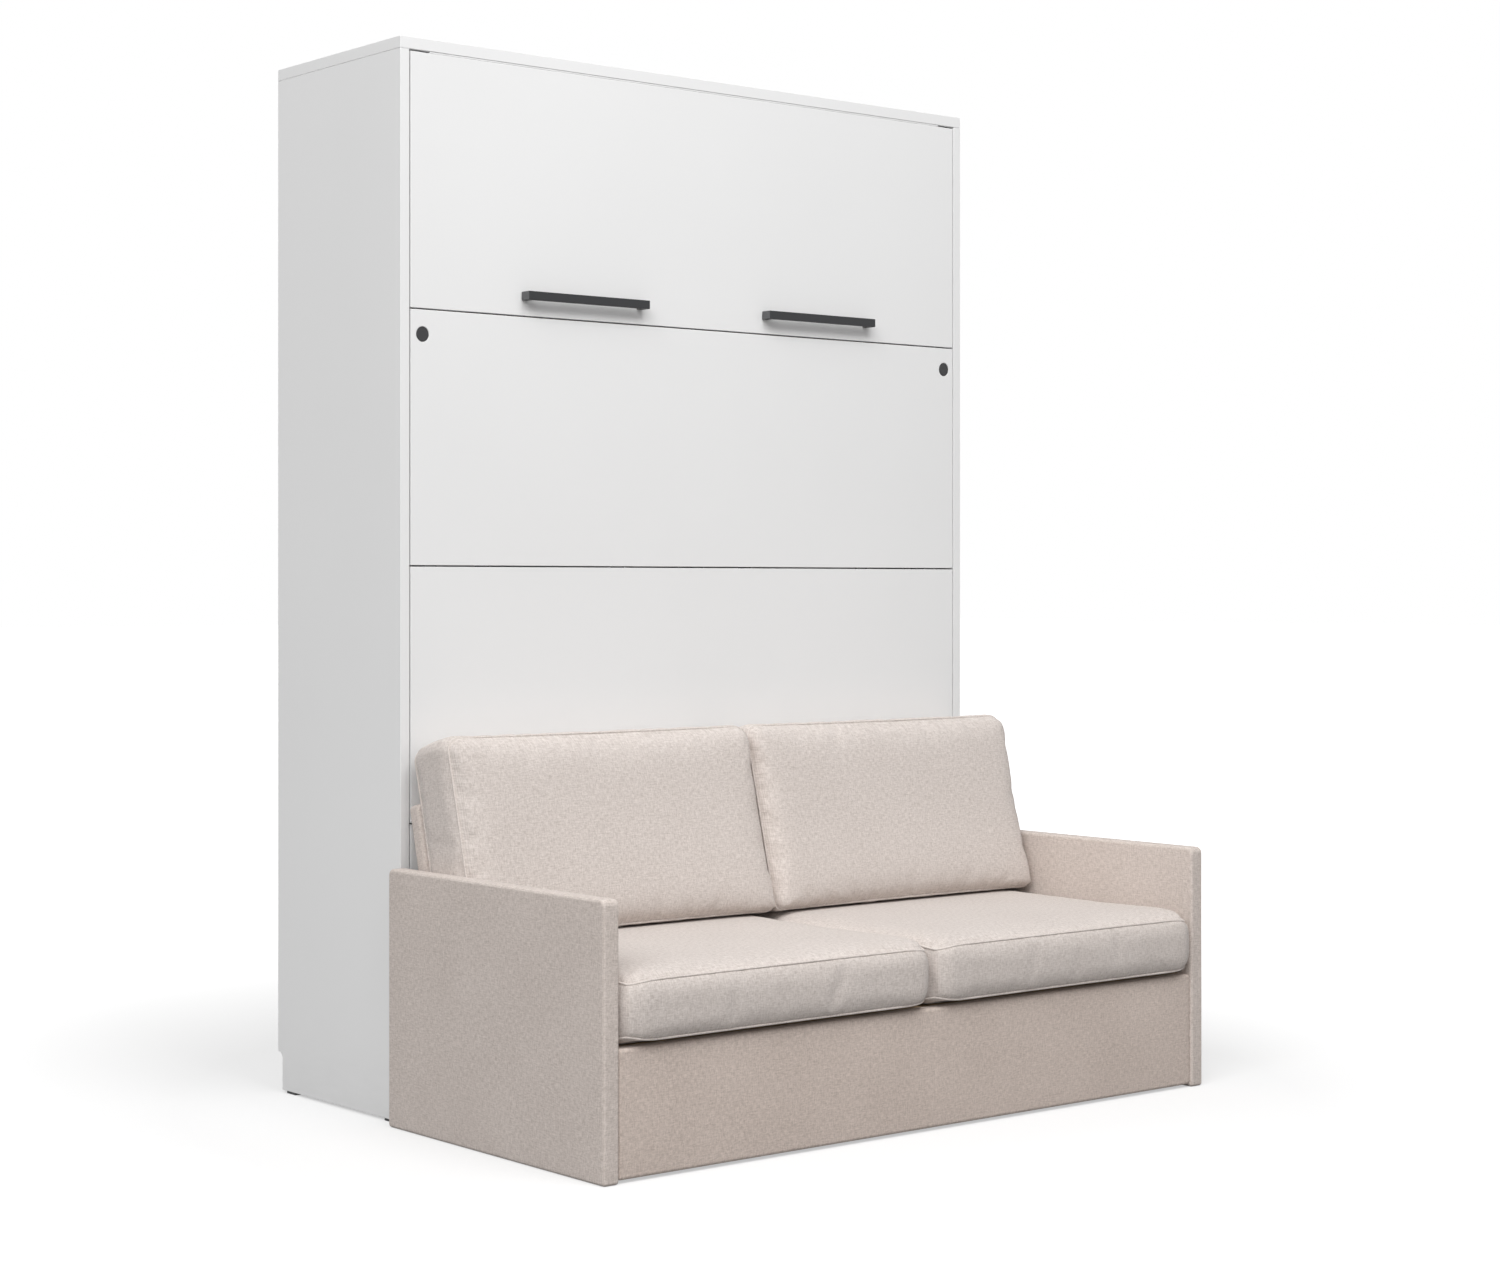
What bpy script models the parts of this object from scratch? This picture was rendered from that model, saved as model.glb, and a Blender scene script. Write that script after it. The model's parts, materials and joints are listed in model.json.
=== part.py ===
"""Wall bed with sofa.

A cabinet holds a fold-down bed whose underside is four front panels. Two telescopic legs are stowed
inside the bed box and show as round black caps in the second panel. A sofa with thin upholstered arms
stands in front of the cabinet. Its backrest board folds flat onto the seat under the lowered bed.

Metres, +Z up, front towards -Y. Inside the script the cabinet's front plane is y = 0. The assembly empty
then shifts everything so that the origin is centred under the whole object.
"""

import math

import bmesh
import bpy
from mathutils import Matrix, Vector

# Fits shared by all pieces
touch_gap = 0.0003
running_gap = 0.0003
cut_overrun = 0.002
weld_overlap = 0.0005
weld_inset = 0.0001
merge_distance = 0.00003
round_segments = 24
small_segments = 14
fillet_steps = 6
soft_corner_steps = 4
round_end_steps = 8
sharp_angle = math.radians(50)

# Cabinet
cabinet_depth = 0.470
side_thickness = 0.022
top_thickness = 0.024
board_edge_radius = 0.0008
glide_height = 0.005
glide_width = 0.018
glide_length = 0.034
glide_front_inset = 0.026
glide_rear_inset = 0.034
skirting_notch_depth = 0.018
skirting_notch_top = 0.085
skirting_notch_radius = 0.014
plinth_setback = 0.002
plinth_thickness = 0.018
plinth_top = 0.082
bottom_thickness = 0.022
rear_rail_thickness = 0.018
rear_rail_height = 0.110
rear_rail_lower_z = 0.110
rear_rail_middle_z = 1.060
back_leaf_thickness = 0.003
stop_rail_height = 0.012
stop_rail_depth = 0.026
stop_rail_end_inset = 0.050
stop_clearance = 0.0008
wall_angle_leg = 0.040
wall_angle_thickness = 0.003
wall_angle_width = 0.060
wall_angle_x = 0.550

# Front panels and handles, carried by the bed
panel_count = 4
panel_thickness = 0.018
panel_side_gap = 0.003
panel_top_gap = 0.004
panel_joint_gap = 0.003
panel_bottom_z = 0.085
handle_length = 0.320
handle_height = 0.018
handle_projection = 0.027
handle_bar_thickness = 0.010
handle_leg_width = 0.016
handle_edge_radius = 0.0008
handle_centre_x = 0.330
handle_above_joint = 0.040

# Bed pivot and the steel plates let into the cabinet sides
pivot_setback = 0.030
pivot_height = 0.475
pivot_pin_radius = 0.008
plate_thickness = 0.005
plate_pivot_radius = 0.020
plate_anchor_radius = 0.024
fold_angle = math.radians(90)

# Bed frame
frame_side_clearance = 0.048
rail_width = 0.030
rail_depth = 0.045
rail_wall = 0.002
frame_bottom_z = 0.128
frame_top_inset = 0.030
bed_plate_thickness = 0.005
bed_plate_height = 0.090
centre_rail_width = 0.030

# Slats, two roll-out mats side by side
slat_count = 14
slat_width = 0.053
slat_thickness = 0.008
slat_bow = 0.006
slat_bow_steps = 6
slat_end_play = 0.0025
slat_field_inset = 0.045
tape_width = 0.035
tape_thickness = 0.0015
tape_place_shares = (0.25, 0.75)

# Mattress
mattress_width = 1.400
mattress_length = 2.000
mattress_side_room = 0.068
mattress_top_room = 0.0307
mattress_thickness = 0.180
mattress_bottom_z = 0.125
mattress_edge_radius = 0.028
mattress_crown = 0.004
mattress_cuts = 4

# Telescopic legs
leg_edge_distance = 0.054
panels_above_legs_count = 1
leg_below_joint = 0.0495
leg_sleeve_radius = 0.0145
leg_tube_radius = 0.0125
leg_rod_radius = 0.0105
leg_tube_wall = 0.0017
leg_sleeve_length = 0.2425
leg_end_wall = 0.003
leg_end_play = 0.0035
leg_cap_radius = 0.0150
leg_cap_thickness = 0.017
leg_cap_edge_radius = 0.0012
leg_hole_clearance = 0.0006
leg_flange_thickness = 0.004
leg_flange_half_height = 0.030

# Gas struts
strut_anchor_setback = 0.420
strut_anchor_height = 1.050
strut_foot_setback = 0.050
strut_foot_height = 0.175
strut_side_clearance = 0.023
strut_cylinder_radius = 0.011
strut_cylinder_start = 0.018
strut_cylinder_end = 0.500
strut_rod_radius = 0.005
strut_rod_inner_end = 0.450
strut_bore_start = 0.040
strut_eye_radius = 0.010
strut_eye_thickness = 0.008
strut_stud_radius = 0.004
strut_stud_head_radius = 0.0065
strut_stud_head_thickness = 0.003

# Sofa
arm_overhang = 0.030
sofa_depth = 0.700
arm_thickness = 0.037
arm_height = 0.515
arm_corner_radius = 0.018
arm_edge_radius = 0.009
front_board_setback = 0.003
front_board_thickness = 0.035
front_board_bottom = 0.006
front_board_top = 0.243
board_padding_radius = 0.007
deck_thickness = 0.018
ledger_size = 0.028
rear_board_thickness = 0.030
rear_board_top = 0.385
link_height = 0.045
link_width = 0.040
link_thickness = 0.003
link_flange = 0.025
link_x = 0.500

# Backrest
backrest_lean = math.radians(14)
backrest_thickness = 0.035
backrest_top = 0.645
backrest_foot_play = 0.0055
backrest_width_play = 0.006
backrest_edge_radius = 0.010
hinge_setback = 0.1035
hinge_height = 0.394
hinge_barrel_radius = 0.0045
hinge_pin_radius = 0.0018
hinge_leaf_thickness = 0.002
hinge_leaf_width = 0.022
hinge_end_inset = 0.077
hinge_knuckles = 9
hinge_knuckle_gap = 0.0008

# Cushions
seat_top = 0.387
seat_edge_top = 0.369
seat_overhang = 0.022
seat_rear_clearance = 0.0015
seat_draw_in = 0.010
cushion_middle_gap = 0.0015
cushion_side_gap = 0.0015
back_cushion_top = 0.787
back_cushion_thickness = 0.165
back_cushion_gusset = 0.120
back_cushion_draw_in = 0.012
back_cushion_clearance = 0.0021
cushion_corner_pull = 0.016
cushion_gusset_bulge = 0.004
cushion_cuts = 9
cushion_spread_share = 0.6
seat_underside_roll = 0.012
pressed_fill_share = 0.5
rear_crown_share = 0.15
crown_power = 6
side_power = 4
corner_power = 8
stowed_cushion_inset = 0.087
stowed_cushion_z = 0.0835

# Places worked out from the sizes above
cabinet_width = mattress_width + 2 * (mattress_side_room + side_thickness)
cabinet_height = mattress_bottom_z + mattress_length + mattress_top_room + touch_gap + top_thickness
half_width = cabinet_width / 2
inner_x = half_width - side_thickness
fit_x = inner_x - touch_gap
top_board_z = cabinet_height - top_thickness
under_top_z = top_board_z - touch_gap
rear_rail_y = cabinet_depth - rear_rail_thickness
back_leaf_y = rear_rail_y - touch_gap - back_leaf_thickness
panel_top_z = top_board_z - panel_top_gap
panel_half_width = inner_x - panel_side_gap
panel_height = (panel_top_z - panel_bottom_z - (panel_count - 1) * panel_joint_gap) / panel_count
rail_y = panel_thickness + touch_gap
rail_back_y = rail_y + rail_depth
frame_half_width = inner_x - frame_side_clearance
frame_top_z = panel_top_z - frame_top_inset
slat_y = rail_back_y + touch_gap
mattress_y = slat_y + slat_thickness + slat_bow + touch_gap
leg_x = half_width - leg_edge_distance
leg_panel_top_z = panel_top_z - panels_above_legs_count * (panel_height + panel_joint_gap)
leg_height = leg_panel_top_z - leg_below_joint
leg_travel = (pivot_height - pivot_setback) / 2
strut_plane_x = inner_x - strut_side_clearance
sofa_width = cabinet_width + 2 * arm_overhang
arm_inner_x = sofa_width / 2 - arm_thickness
sofa_fit_x = arm_inner_x - touch_gap
front_board_y = -sofa_depth + front_board_setback
rear_board_y = -hinge_setback + hinge_leaf_thickness + 2 * touch_gap + weld_overlap
deck_top = front_board_top - touch_gap
seat_front_y = -sofa_depth - seat_overhang
seat_rear_y = -hinge_setback - hinge_barrel_radius - seat_rear_clearance
backrest_half_width = sofa_fit_x - backrest_width_play
hinge_half_length = backrest_half_width - hinge_end_inset
lowered_reach_y = pivot_setback - (panel_top_z - pivot_height)
stowed_cushion_y = lowered_reach_y + stowed_cushion_inset
cabinet_front_y = (-seat_front_y - cabinet_depth) / 2


def clear_scene():
    """Remove every object the new file came with."""
    for old in list(bpy.data.objects):
        bpy.data.objects.remove(old, do_unlink=True)


def finish(name, colour, roughness, metallic=0.0):
    """A plain Principled material."""
    made = bpy.data.materials.new(name)
    made.use_nodes = True
    shader = made.node_tree.nodes["Principled BSDF"]
    shader.inputs["Base Color"].default_value = (*colour, 1.0)
    shader.inputs["Roughness"].default_value = roughness
    shader.inputs["Metallic"].default_value = metallic
    return made


def make_finishes():
    """The finish of each kind of piece, by its name."""
    return {
        "laminate": ((0.80, 0.80, 0.80), 0.45, 0.0),
        "white_back": ((0.74, 0.74, 0.73), 0.60, 0.0),
        "black_metal": ((0.030, 0.030, 0.032), 0.42, 0.4),
        "black_plastic": ((0.035, 0.035, 0.037), 0.50, 0.0),
        "bright_steel": ((0.62, 0.62, 0.62), 0.30, 1.0),
        "painted_steel": ((0.55, 0.56, 0.57), 0.45, 0.6),
        "beech": ((0.66, 0.48, 0.30), 0.55, 0.0),
        "plywood": ((0.60, 0.46, 0.30), 0.60, 0.0),
        "mattress_cover": ((0.82, 0.81, 0.79), 0.90, 0.0),
        "sofa_fabric": ((0.62, 0.56, 0.52), 0.95, 0.0),
    }


def empty(name, parent, place):
    """An empty that carries the pieces of one body on its joint's axis."""
    holder = bpy.data.objects.new(name, None)
    bpy.context.scene.collection.objects.link(holder)
    holder.parent = parent
    holder.location = place
    return holder


def box_bm(low, high):
    """A box between two corners."""
    bm = bmesh.new()
    bmesh.ops.create_cube(bm, size=1)
    size = Vector(high) - Vector(low)
    middle = (Vector(high) + Vector(low)) / 2
    bmesh.ops.scale(bm, vec=size, verts=bm.verts)
    bmesh.ops.translate(bm, vec=middle, verts=bm.verts)
    return bm


def prism_bm(outline, low_x, high_x):
    """A closed (y, z) outline drawn out along X."""
    bm = bmesh.new()
    ring = [bm.verts.new((low_x, y, z)) for y, z in outline]
    face = bm.faces.new(ring)
    grown = bmesh.ops.extrude_face_region(bm, geom=[face])
    moved = [v for v in grown["geom"] if isinstance(v, bmesh.types.BMVert)]
    bmesh.ops.translate(bm, vec=(high_x - low_x, 0, 0), verts=moved)
    bmesh.ops.recalc_face_normals(bm, faces=bm.faces)
    return bm


def revolve_bm(profile, segments, turn, place):
    """A closed (radius, height) profile spun about +Z, then turned and placed."""
    bm = bmesh.new()
    points = [bm.verts.new((radius, 0, height)) for radius, height in profile]
    edges = [bm.edges.new((points[i], points[i + 1])) for i in range(len(points) - 1)]
    if profile[0][0] > 0:
        edges.append(bm.edges.new((points[-1], points[0])))
    bmesh.ops.spin(
        bm,
        geom=points + edges,
        cent=(0, 0, 0),
        axis=(0, 0, 1),
        angle=math.tau,
        steps=segments,
        use_merge=True,
    )
    bmesh.ops.remove_doubles(bm, verts=bm.verts, dist=merge_distance)
    bmesh.ops.recalc_face_normals(bm, faces=bm.faces)
    bmesh.ops.transform(bm, matrix=Matrix.Translation(place) @ turn, verts=bm.verts)
    return bm


along_x = Matrix.Rotation(math.radians(90), 4, "Y")
along_minus_y = Matrix.Rotation(math.radians(90), 4, "X")


def rod_bm(radius, length, turn, place, segments=small_segments):
    """A solid round bar that starts at place."""
    return revolve_bm([(0, 0), (radius, 0), (radius, length), (0, length)], segments, turn, place)


def ring_tube_bm(low, high, wall):
    """A square tube along its longest side, open at both ends."""
    low = Vector(low)
    high = Vector(high)
    size = high - low
    axis = max(range(3), key=lambda i: size[i])
    bm = box_bm(low, high)
    ends = [f for f in bm.faces if abs(f.normal[axis]) > 0.5]
    for end in ends:
        bmesh.ops.inset_region(bm, faces=[end], thickness=wall, use_even_offset=True)
    ends = [f for f in bm.faces if abs(f.normal[axis]) > 0.5 and len(f.verts) == 4]
    middle = (low + high) / 2
    inner = []
    for end in ends:
        offset = end.calc_center_median() - middle
        offset[axis] = 0
        if offset.length < wall / 2:
            inner.append(end)
    bmesh.ops.bridge_loops(bm, edges=list({e for f in inner for e in f.edges}))
    bmesh.ops.delete(bm, geom=inner, context="FACES_ONLY")
    bmesh.ops.recalc_face_normals(bm, faces=bm.faces)
    return bm


def arc(centre, radius, start, stop, steps):
    """Points on an arc in the (y, z) plane, angles in degrees from +Y."""
    found = []
    for i in range(steps + 1):
        angle = math.radians(start + (stop - start) * i / steps)
        found.append((centre[0] + radius * math.cos(angle), centre[1] + radius * math.sin(angle)))
    return found


def capsule(first, first_radius, second, second_radius):
    """The outline of a plate with two round ends of unlike size and straight sides between them."""
    dy = second[0] - first[0]
    dz = second[1] - first[1]
    distance = math.hypot(dy, dz)
    heading = math.degrees(math.atan2(dz, dy))
    spread = math.degrees(math.acos((first_radius - second_radius) / distance))
    far = arc(second, second_radius, heading - spread, heading + spread, round_end_steps)
    near = arc(first, first_radius, heading + spread, heading + 360 - spread, round_end_steps)
    return far + near


def add(name, bm, material, holder, origin=(0, 0, 0), bevel=0, segments=1):
    """Make the object of one piece, with its mesh drawn about its origin under its holder."""
    mesh = bpy.data.meshes.new(name)
    carried = Vector(origin)
    bmesh.ops.translate(bm, vec=-carried, verts=bm.verts)
    bm.to_mesh(mesh)
    bm.free()
    made = bpy.data.objects.new(name, mesh)
    bpy.context.scene.collection.objects.link(made)
    made.parent = holder
    made.location = carried - Vector(holder.get("place", (0, 0, 0)))
    if material is not None:
        mesh.materials.append(material)
    if bevel:
        rounder = made.modifiers.new("Rounded edges", "BEVEL")
        rounder.width = bevel
        rounder.segments = segments
        rounder.limit_method = "ANGLE"
        rounder.angle_limit = sharp_angle
    return made


def merged(base, tools, operation="UNION"):
    """Join or cut one bmesh with others through exact Booleans, one by one, and give back the result."""
    result = base
    for tool in tools:
        body = helper_object(result)
        helper = helper_object(tool)
        step = body.modifiers.new("Join", "BOOLEAN")
        step.operation = operation
        step.solver = "EXACT"
        step.object = helper
        evaluated = body.evaluated_get(bpy.context.evaluated_depsgraph_get())
        result = bmesh.new()
        result.from_mesh(evaluated.to_mesh())
        evaluated.to_mesh_clear()
        for used in (body, helper):
            shape = used.data
            bpy.data.objects.remove(used, do_unlink=True)
            bpy.data.meshes.remove(shape)
    return result


def helper_object(bm):
    """Put a bmesh on a passing object, for a modifier to work on."""
    mesh = bpy.data.meshes.new("helper")
    bm.to_mesh(mesh)
    bm.free()
    made = bpy.data.objects.new("helper", mesh)
    bpy.context.scene.collection.objects.link(made)
    return made


def cut(base, tools):
    """Cut tools out of a bmesh."""
    return merged(base, tools, "DIFFERENCE")


def carve(piece, name, bm, holder):
    """Leave a live cut on a piece, after its edges are rounded, with a cutter that no render shows."""
    cutter = add(name, bm, None, holder)
    cutter.hide_render = True
    cutter.display_type = "WIRE"
    step = piece.modifiers.new("Pocket", "BOOLEAN")
    step.operation = "DIFFERENCE"
    step.solver = "EXACT"
    step.object = cutter


def centred_box(name, low, high, material, holder, bevel=0, segments=1):
    """A box piece with its origin at its middle."""
    middle = (Vector(low) + Vector(high)) / 2
    return add(name, box_bm(low, high), material, holder, middle, bevel, segments)


def side_outline():
    """Cabinet side seen from the end, with the notch that clears a skirting board at the rear."""
    notch_y = cabinet_depth - skirting_notch_depth
    fillet_centre = (notch_y + skirting_notch_radius, skirting_notch_top - skirting_notch_radius)
    fillet = arc(fillet_centre, skirting_notch_radius, 180, 90, fillet_steps)
    return [
        (0, glide_height + touch_gap),
        (notch_y, glide_height + touch_gap),
        *fillet,
        (cabinet_depth, skirting_notch_top),
        (cabinet_depth, under_top_z),
        (0, under_top_z),
    ]


def plate_outline(clearance):
    """Outline of the plate that carries the bed pivot and the gas strut's anchor."""
    return capsule(
        (pivot_setback, pivot_height),
        plate_pivot_radius + clearance,
        (strut_anchor_setback, strut_anchor_height),
        plate_anchor_radius + clearance,
    )


def build_cabinet(holder, looks):
    """Boards, rails, back, glides and wall angles of the cabinet."""
    laminate = looks["laminate"]
    for side, label in ((-1, "left"), (1, "right")):
        low_x, high_x = sorted((side * inner_x, side * half_width))
        pocket_depth = plate_thickness + touch_gap
        pocket_x = sorted((side * (inner_x - cut_overrun), side * (inner_x + pocket_depth)))
        pocket = prism_bm(plate_outline(touch_gap), *pocket_x)
        panel = prism_bm(side_outline(), low_x, high_x)
        middle = (side * (inner_x + half_width) / 2, cabinet_depth / 2, cabinet_height / 2)
        made = add(f"side_panel_{label}", panel, laminate, holder, middle, board_edge_radius)
        carve(made, f"plate_pocket_{label}", pocket, holder)
        glide_x = side * (inner_x + half_width) / 2
        rear_end = cabinet_depth - glide_rear_inset
        for place, start in (("front", glide_front_inset), ("rear", rear_end - glide_length)):
            centred_box(
                f"glide_{label}_{place}",
                (glide_x - glide_width / 2, start, 0),
                (glide_x + glide_width / 2, start + glide_length, glide_height),
                looks["black_plastic"],
                holder,
            )
        angle_high_y = back_leaf_y - touch_gap
        angle = merged(
            box_bm(
                (side * wall_angle_x - wall_angle_width / 2, angle_high_y - wall_angle_thickness,
                 under_top_z - wall_angle_leg),
                (side * wall_angle_x + wall_angle_width / 2, angle_high_y, under_top_z),
            ),
            [box_bm(
                (side * wall_angle_x - wall_angle_width / 2, angle_high_y - wall_angle_leg,
                 under_top_z - wall_angle_thickness),
                (side * wall_angle_x + wall_angle_width / 2, angle_high_y - weld_overlap, under_top_z),
            )],
        )
        corner = (side * wall_angle_x, angle_high_y, under_top_z)
        add(f"wall_angle_{label}", angle, looks["bright_steel"], holder, corner)
    centred_box(
        "top_board", (-half_width, 0, top_board_z), (half_width, cabinet_depth, cabinet_height),
        laminate, holder, board_edge_radius,
    )
    plinth_back = plinth_setback + plinth_thickness
    centred_box(
        "plinth_board", (-fit_x, plinth_setback, glide_height), (fit_x, plinth_back, plinth_top),
        laminate, holder, board_edge_radius,
    )
    centred_box(
        "bottom_board",
        (-fit_x, plinth_back + touch_gap, plinth_top - bottom_thickness),
        (fit_x, rear_rail_y - touch_gap, plinth_top),
        laminate, holder, board_edge_radius,
    )
    rail_places = (
        ("lower", rear_rail_lower_z),
        ("middle", rear_rail_middle_z),
        ("upper", under_top_z - rear_rail_height),
    )
    for label, low_z in rail_places:
        centred_box(
            f"rear_rail_{label}",
            (-fit_x, rear_rail_y, low_z),
            (fit_x, cabinet_depth, low_z + rear_rail_height),
            laminate, holder, board_edge_radius,
        )
    centred_box(
        "back_leaf",
        (-fit_x, back_leaf_y, plinth_top + touch_gap),
        (fit_x, back_leaf_y + back_leaf_thickness, under_top_z),
        looks["white_back"], holder,
    )
    stop_end = inner_x - stop_rail_end_inset
    stop_y = panel_thickness + stop_clearance
    centred_box(
        "top_stop_rail",
        (-stop_end, stop_y, under_top_z - stop_rail_height),
        (stop_end, stop_y + stop_rail_depth, under_top_z),
        laminate, holder, board_edge_radius,
    )


def build_pivot_plates(holder, looks):
    """Steel plates let into the sides, each with the bed's pivot pin and the strut's upper stud."""
    for side, label in ((-1, "left"), (1, "right")):
        face_x = side * inner_x
        plate = prism_bm(plate_outline(0), *sorted((face_x, face_x + side * plate_thickness)))
        pin_end_x = frame_half_width + 2 * touch_gap
        pin_length = inner_x + weld_overlap - pin_end_x
        pin_x = min(side * pin_end_x, side * (inner_x + weld_overlap))
        pin = rod_bm(pivot_pin_radius, pin_length, along_x, (pin_x, pivot_setback, pivot_height),
                     round_segments)
        eye_inner_x = strut_plane_x - strut_eye_thickness / 2
        head_far_x = eye_inner_x - touch_gap - strut_stud_head_thickness
        stud_length = inner_x + weld_overlap - head_far_x
        stud_x = min(side * head_far_x, side * (inner_x + weld_overlap))
        anchor = (strut_anchor_setback, strut_anchor_height)
        stud = rod_bm(strut_stud_radius, stud_length, along_x, (stud_x, *anchor))
        head_x = min(side * head_far_x, side * (head_far_x + strut_stud_head_thickness))
        head = rod_bm(strut_stud_head_radius, strut_stud_head_thickness, along_x, (head_x, *anchor))
        shape = merged(plate, [pin, stud, head])
        origin = (face_x, pivot_setback, pivot_height)
        add(f"pivot_plate_{label}", shape, looks["bright_steel"], holder, origin)


def build_panels(holder, looks):
    """The four front panels and the two handles."""
    for number in range(panel_count):
        high_z = panel_top_z - number * (panel_height + panel_joint_gap)
        low_z = high_z - panel_height
        panel = box_bm((-panel_half_width, 0, low_z), (panel_half_width, panel_thickness, high_z))
        holes = []
        if number == panels_above_legs_count:
            hole_radius = leg_cap_radius + leg_hole_clearance
            for side in (-1, 1):
                start = (side * leg_x, panel_thickness + cut_overrun, leg_height)
                depth = panel_thickness + 2 * cut_overrun
                holes.append(rod_bm(hole_radius, depth, along_minus_y, start, round_segments))
        if holes:
            panel = cut(panel, holes)
        middle = (0, panel_thickness / 2, (low_z + high_z) / 2)
        add(f"front_panel_{number + 1}", panel, looks["laminate"], holder, middle, board_edge_radius)
    handle_z = panel_top_z - panel_height + handle_above_joint
    half_length = handle_length / 2
    for side, label in ((-1, "left"), (1, "right")):
        centre_x = side * handle_centre_x
        low = (centre_x - half_length, -touch_gap - handle_projection, handle_z - handle_height / 2)
        high = (centre_x + half_length, -touch_gap, handle_z + handle_height / 2)
        grip_y = low[1] + handle_bar_thickness
        inner_half = half_length - handle_leg_width
        grip = box_bm(
            (centre_x - inner_half, grip_y, low[2] - cut_overrun),
            (centre_x + inner_half, cut_overrun, high[2] + cut_overrun),
        )
        bow = cut(box_bm(low, high), [grip])
        middle = (centre_x, -touch_gap, handle_z)
        add(f"handle_{label}", bow, looks["black_metal"], holder, middle, handle_edge_radius)


def build_bed_frame(holder, looks):
    """Welded tube rails with the pivot bosses and the struts' lower studs."""
    steel = looks["painted_steel"]
    for side, label in ((-1, "left"), (1, "right")):
        rail_x = sorted((side * (frame_half_width - rail_width), side * frame_half_width))
        rail = ring_tube_bm(
            (rail_x[0], rail_y, frame_bottom_z), (rail_x[1], rail_back_y, frame_top_z), rail_wall
        )
        plate_x = sorted(
            (side * (frame_half_width - weld_overlap), side * (frame_half_width + bed_plate_thickness))
        )
        plate = box_bm(
            (plate_x[0], rail_y, pivot_height - bed_plate_height / 2),
            (plate_x[1], rail_back_y, pivot_height + bed_plate_height / 2),
        )
        bore_start_x = frame_half_width + touch_gap
        bore_length = bed_plate_thickness + cut_overrun
        bore_x = min(side * bore_start_x, side * (bore_start_x + bore_length))
        bore = rod_bm(
            pivot_pin_radius + running_gap, bore_length, along_x,
            (bore_x, pivot_setback, pivot_height), round_segments,
        )
        stud_near_x = frame_half_width - weld_overlap
        stud_far_x = strut_plane_x - strut_eye_thickness / 2 - 2 * touch_gap
        stud = rod_bm(
            strut_stud_radius, stud_far_x - stud_near_x, along_x,
            (min(side * stud_near_x, side * stud_far_x), strut_foot_setback, strut_foot_height),
        )
        shape = cut(merged(rail, [plate, stud]), [bore])
        origin = (side * frame_half_width, pivot_setback, pivot_height)
        add(f"side_rail_{label}", shape, steel, holder, origin)
    cross_x = frame_half_width - rail_width - touch_gap
    for label, low_z in (("foot", frame_bottom_z), ("head", frame_top_z - rail_width)):
        low = (-cross_x, rail_y, low_z)
        high = (cross_x, rail_back_y, low_z + rail_width)
        middle = (Vector(low) + Vector(high)) / 2
        add(f"{label}_rail", ring_tube_bm(low, high, rail_wall), steel, holder, middle)
    centre_low = frame_bottom_z + rail_width + touch_gap
    centre_high = frame_top_z - rail_width - touch_gap
    low = (-centre_rail_width / 2, rail_y, centre_low)
    high = (centre_rail_width / 2, rail_back_y, centre_high)
    middle = (Vector(low) + Vector(high)) / 2
    add("centre_rail", ring_tube_bm(low, high, rail_wall), steel, holder, middle)


def slat_rise(share):
    """How far a bowed slat stands off its ends, at a share of its length."""
    return slat_bow * (1 - (2 * share - 1) ** 2)


def build_slats(holder, looks):
    """Two mats of bowed slats, each joined by two woven tapes."""
    for side, label in ((-1, "left"), (1, "right")):
        inner_end = slat_end_play
        outer_end = frame_half_width - slat_end_play
        length = outer_end - inner_end
        field_low = frame_bottom_z + slat_field_inset
        field_high = frame_top_z - slat_field_inset - slat_width
        slats = []
        for number in range(slat_count):
            low_z = field_low + (field_high - field_low) * number / (slat_count - 1)
            bm = bmesh.new()
            shares = [i / slat_bow_steps for i in range(slat_bow_steps + 1)]
            lower = [(inner_end + length * s, slat_y + slat_rise(s)) for s in shares]
            upper = [(x, y + slat_thickness) for x, y in reversed(lower)]
            ring = [bm.verts.new((side * x, y, low_z)) for x, y in lower + upper]
            face = bm.faces.new(ring)
            grown = bmesh.ops.extrude_face_region(bm, geom=[face])
            moved = [v for v in grown["geom"] if isinstance(v, bmesh.types.BMVert)]
            bmesh.ops.translate(bm, vec=(0, 0, slat_width), verts=moved)
            bmesh.ops.recalc_face_normals(bm, faces=bm.faces)
            slats.append(bm)
        tapes = []
        for share in tape_place_shares:
            tape_x = inner_end + length * share
            tape_y = slat_y + slat_rise(share) + slat_thickness / 2
            tapes.append(box_bm(
                (side * tape_x - tape_width / 2, tape_y - tape_thickness / 2, field_low + tape_thickness),
                (side * tape_x + tape_width / 2, tape_y + tape_thickness / 2,
                 field_high + slat_width - tape_thickness),
            ))
        mat = merged(tapes[0], [tapes[1], *slats])
        origin = (side * (inner_end + outer_end) / 2, slat_y, (field_low + field_high) / 2)
        add(f"slat_mat_{label}", mat, looks["beech"], holder, origin)


def build_mattress(holder, looks):
    """The mattress, slightly crowned on the side that is slept on."""
    low = (-mattress_width / 2, mattress_y, mattress_bottom_z)
    high = (
        mattress_width / 2,
        mattress_y + mattress_thickness - mattress_crown,
        mattress_bottom_z + mattress_length,
    )
    bm = box_bm(low, high)
    bmesh.ops.subdivide_edges(bm, edges=list(bm.edges), cuts=mattress_cuts, use_grid_fill=True)
    middle = (Vector(low) + Vector(high)) / 2
    for vert in bm.verts:
        if vert.co.y > high[1] - touch_gap:
            u = (vert.co.x - middle.x) / (mattress_width / 2)
            v = (vert.co.z - middle.z) / (mattress_length / 2)
            vert.co.y += mattress_crown * (1 - u * u) * (1 - v * v)
    add("mattress", bm, looks["mattress_cover"], holder, middle, mattress_edge_radius, 3)


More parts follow.
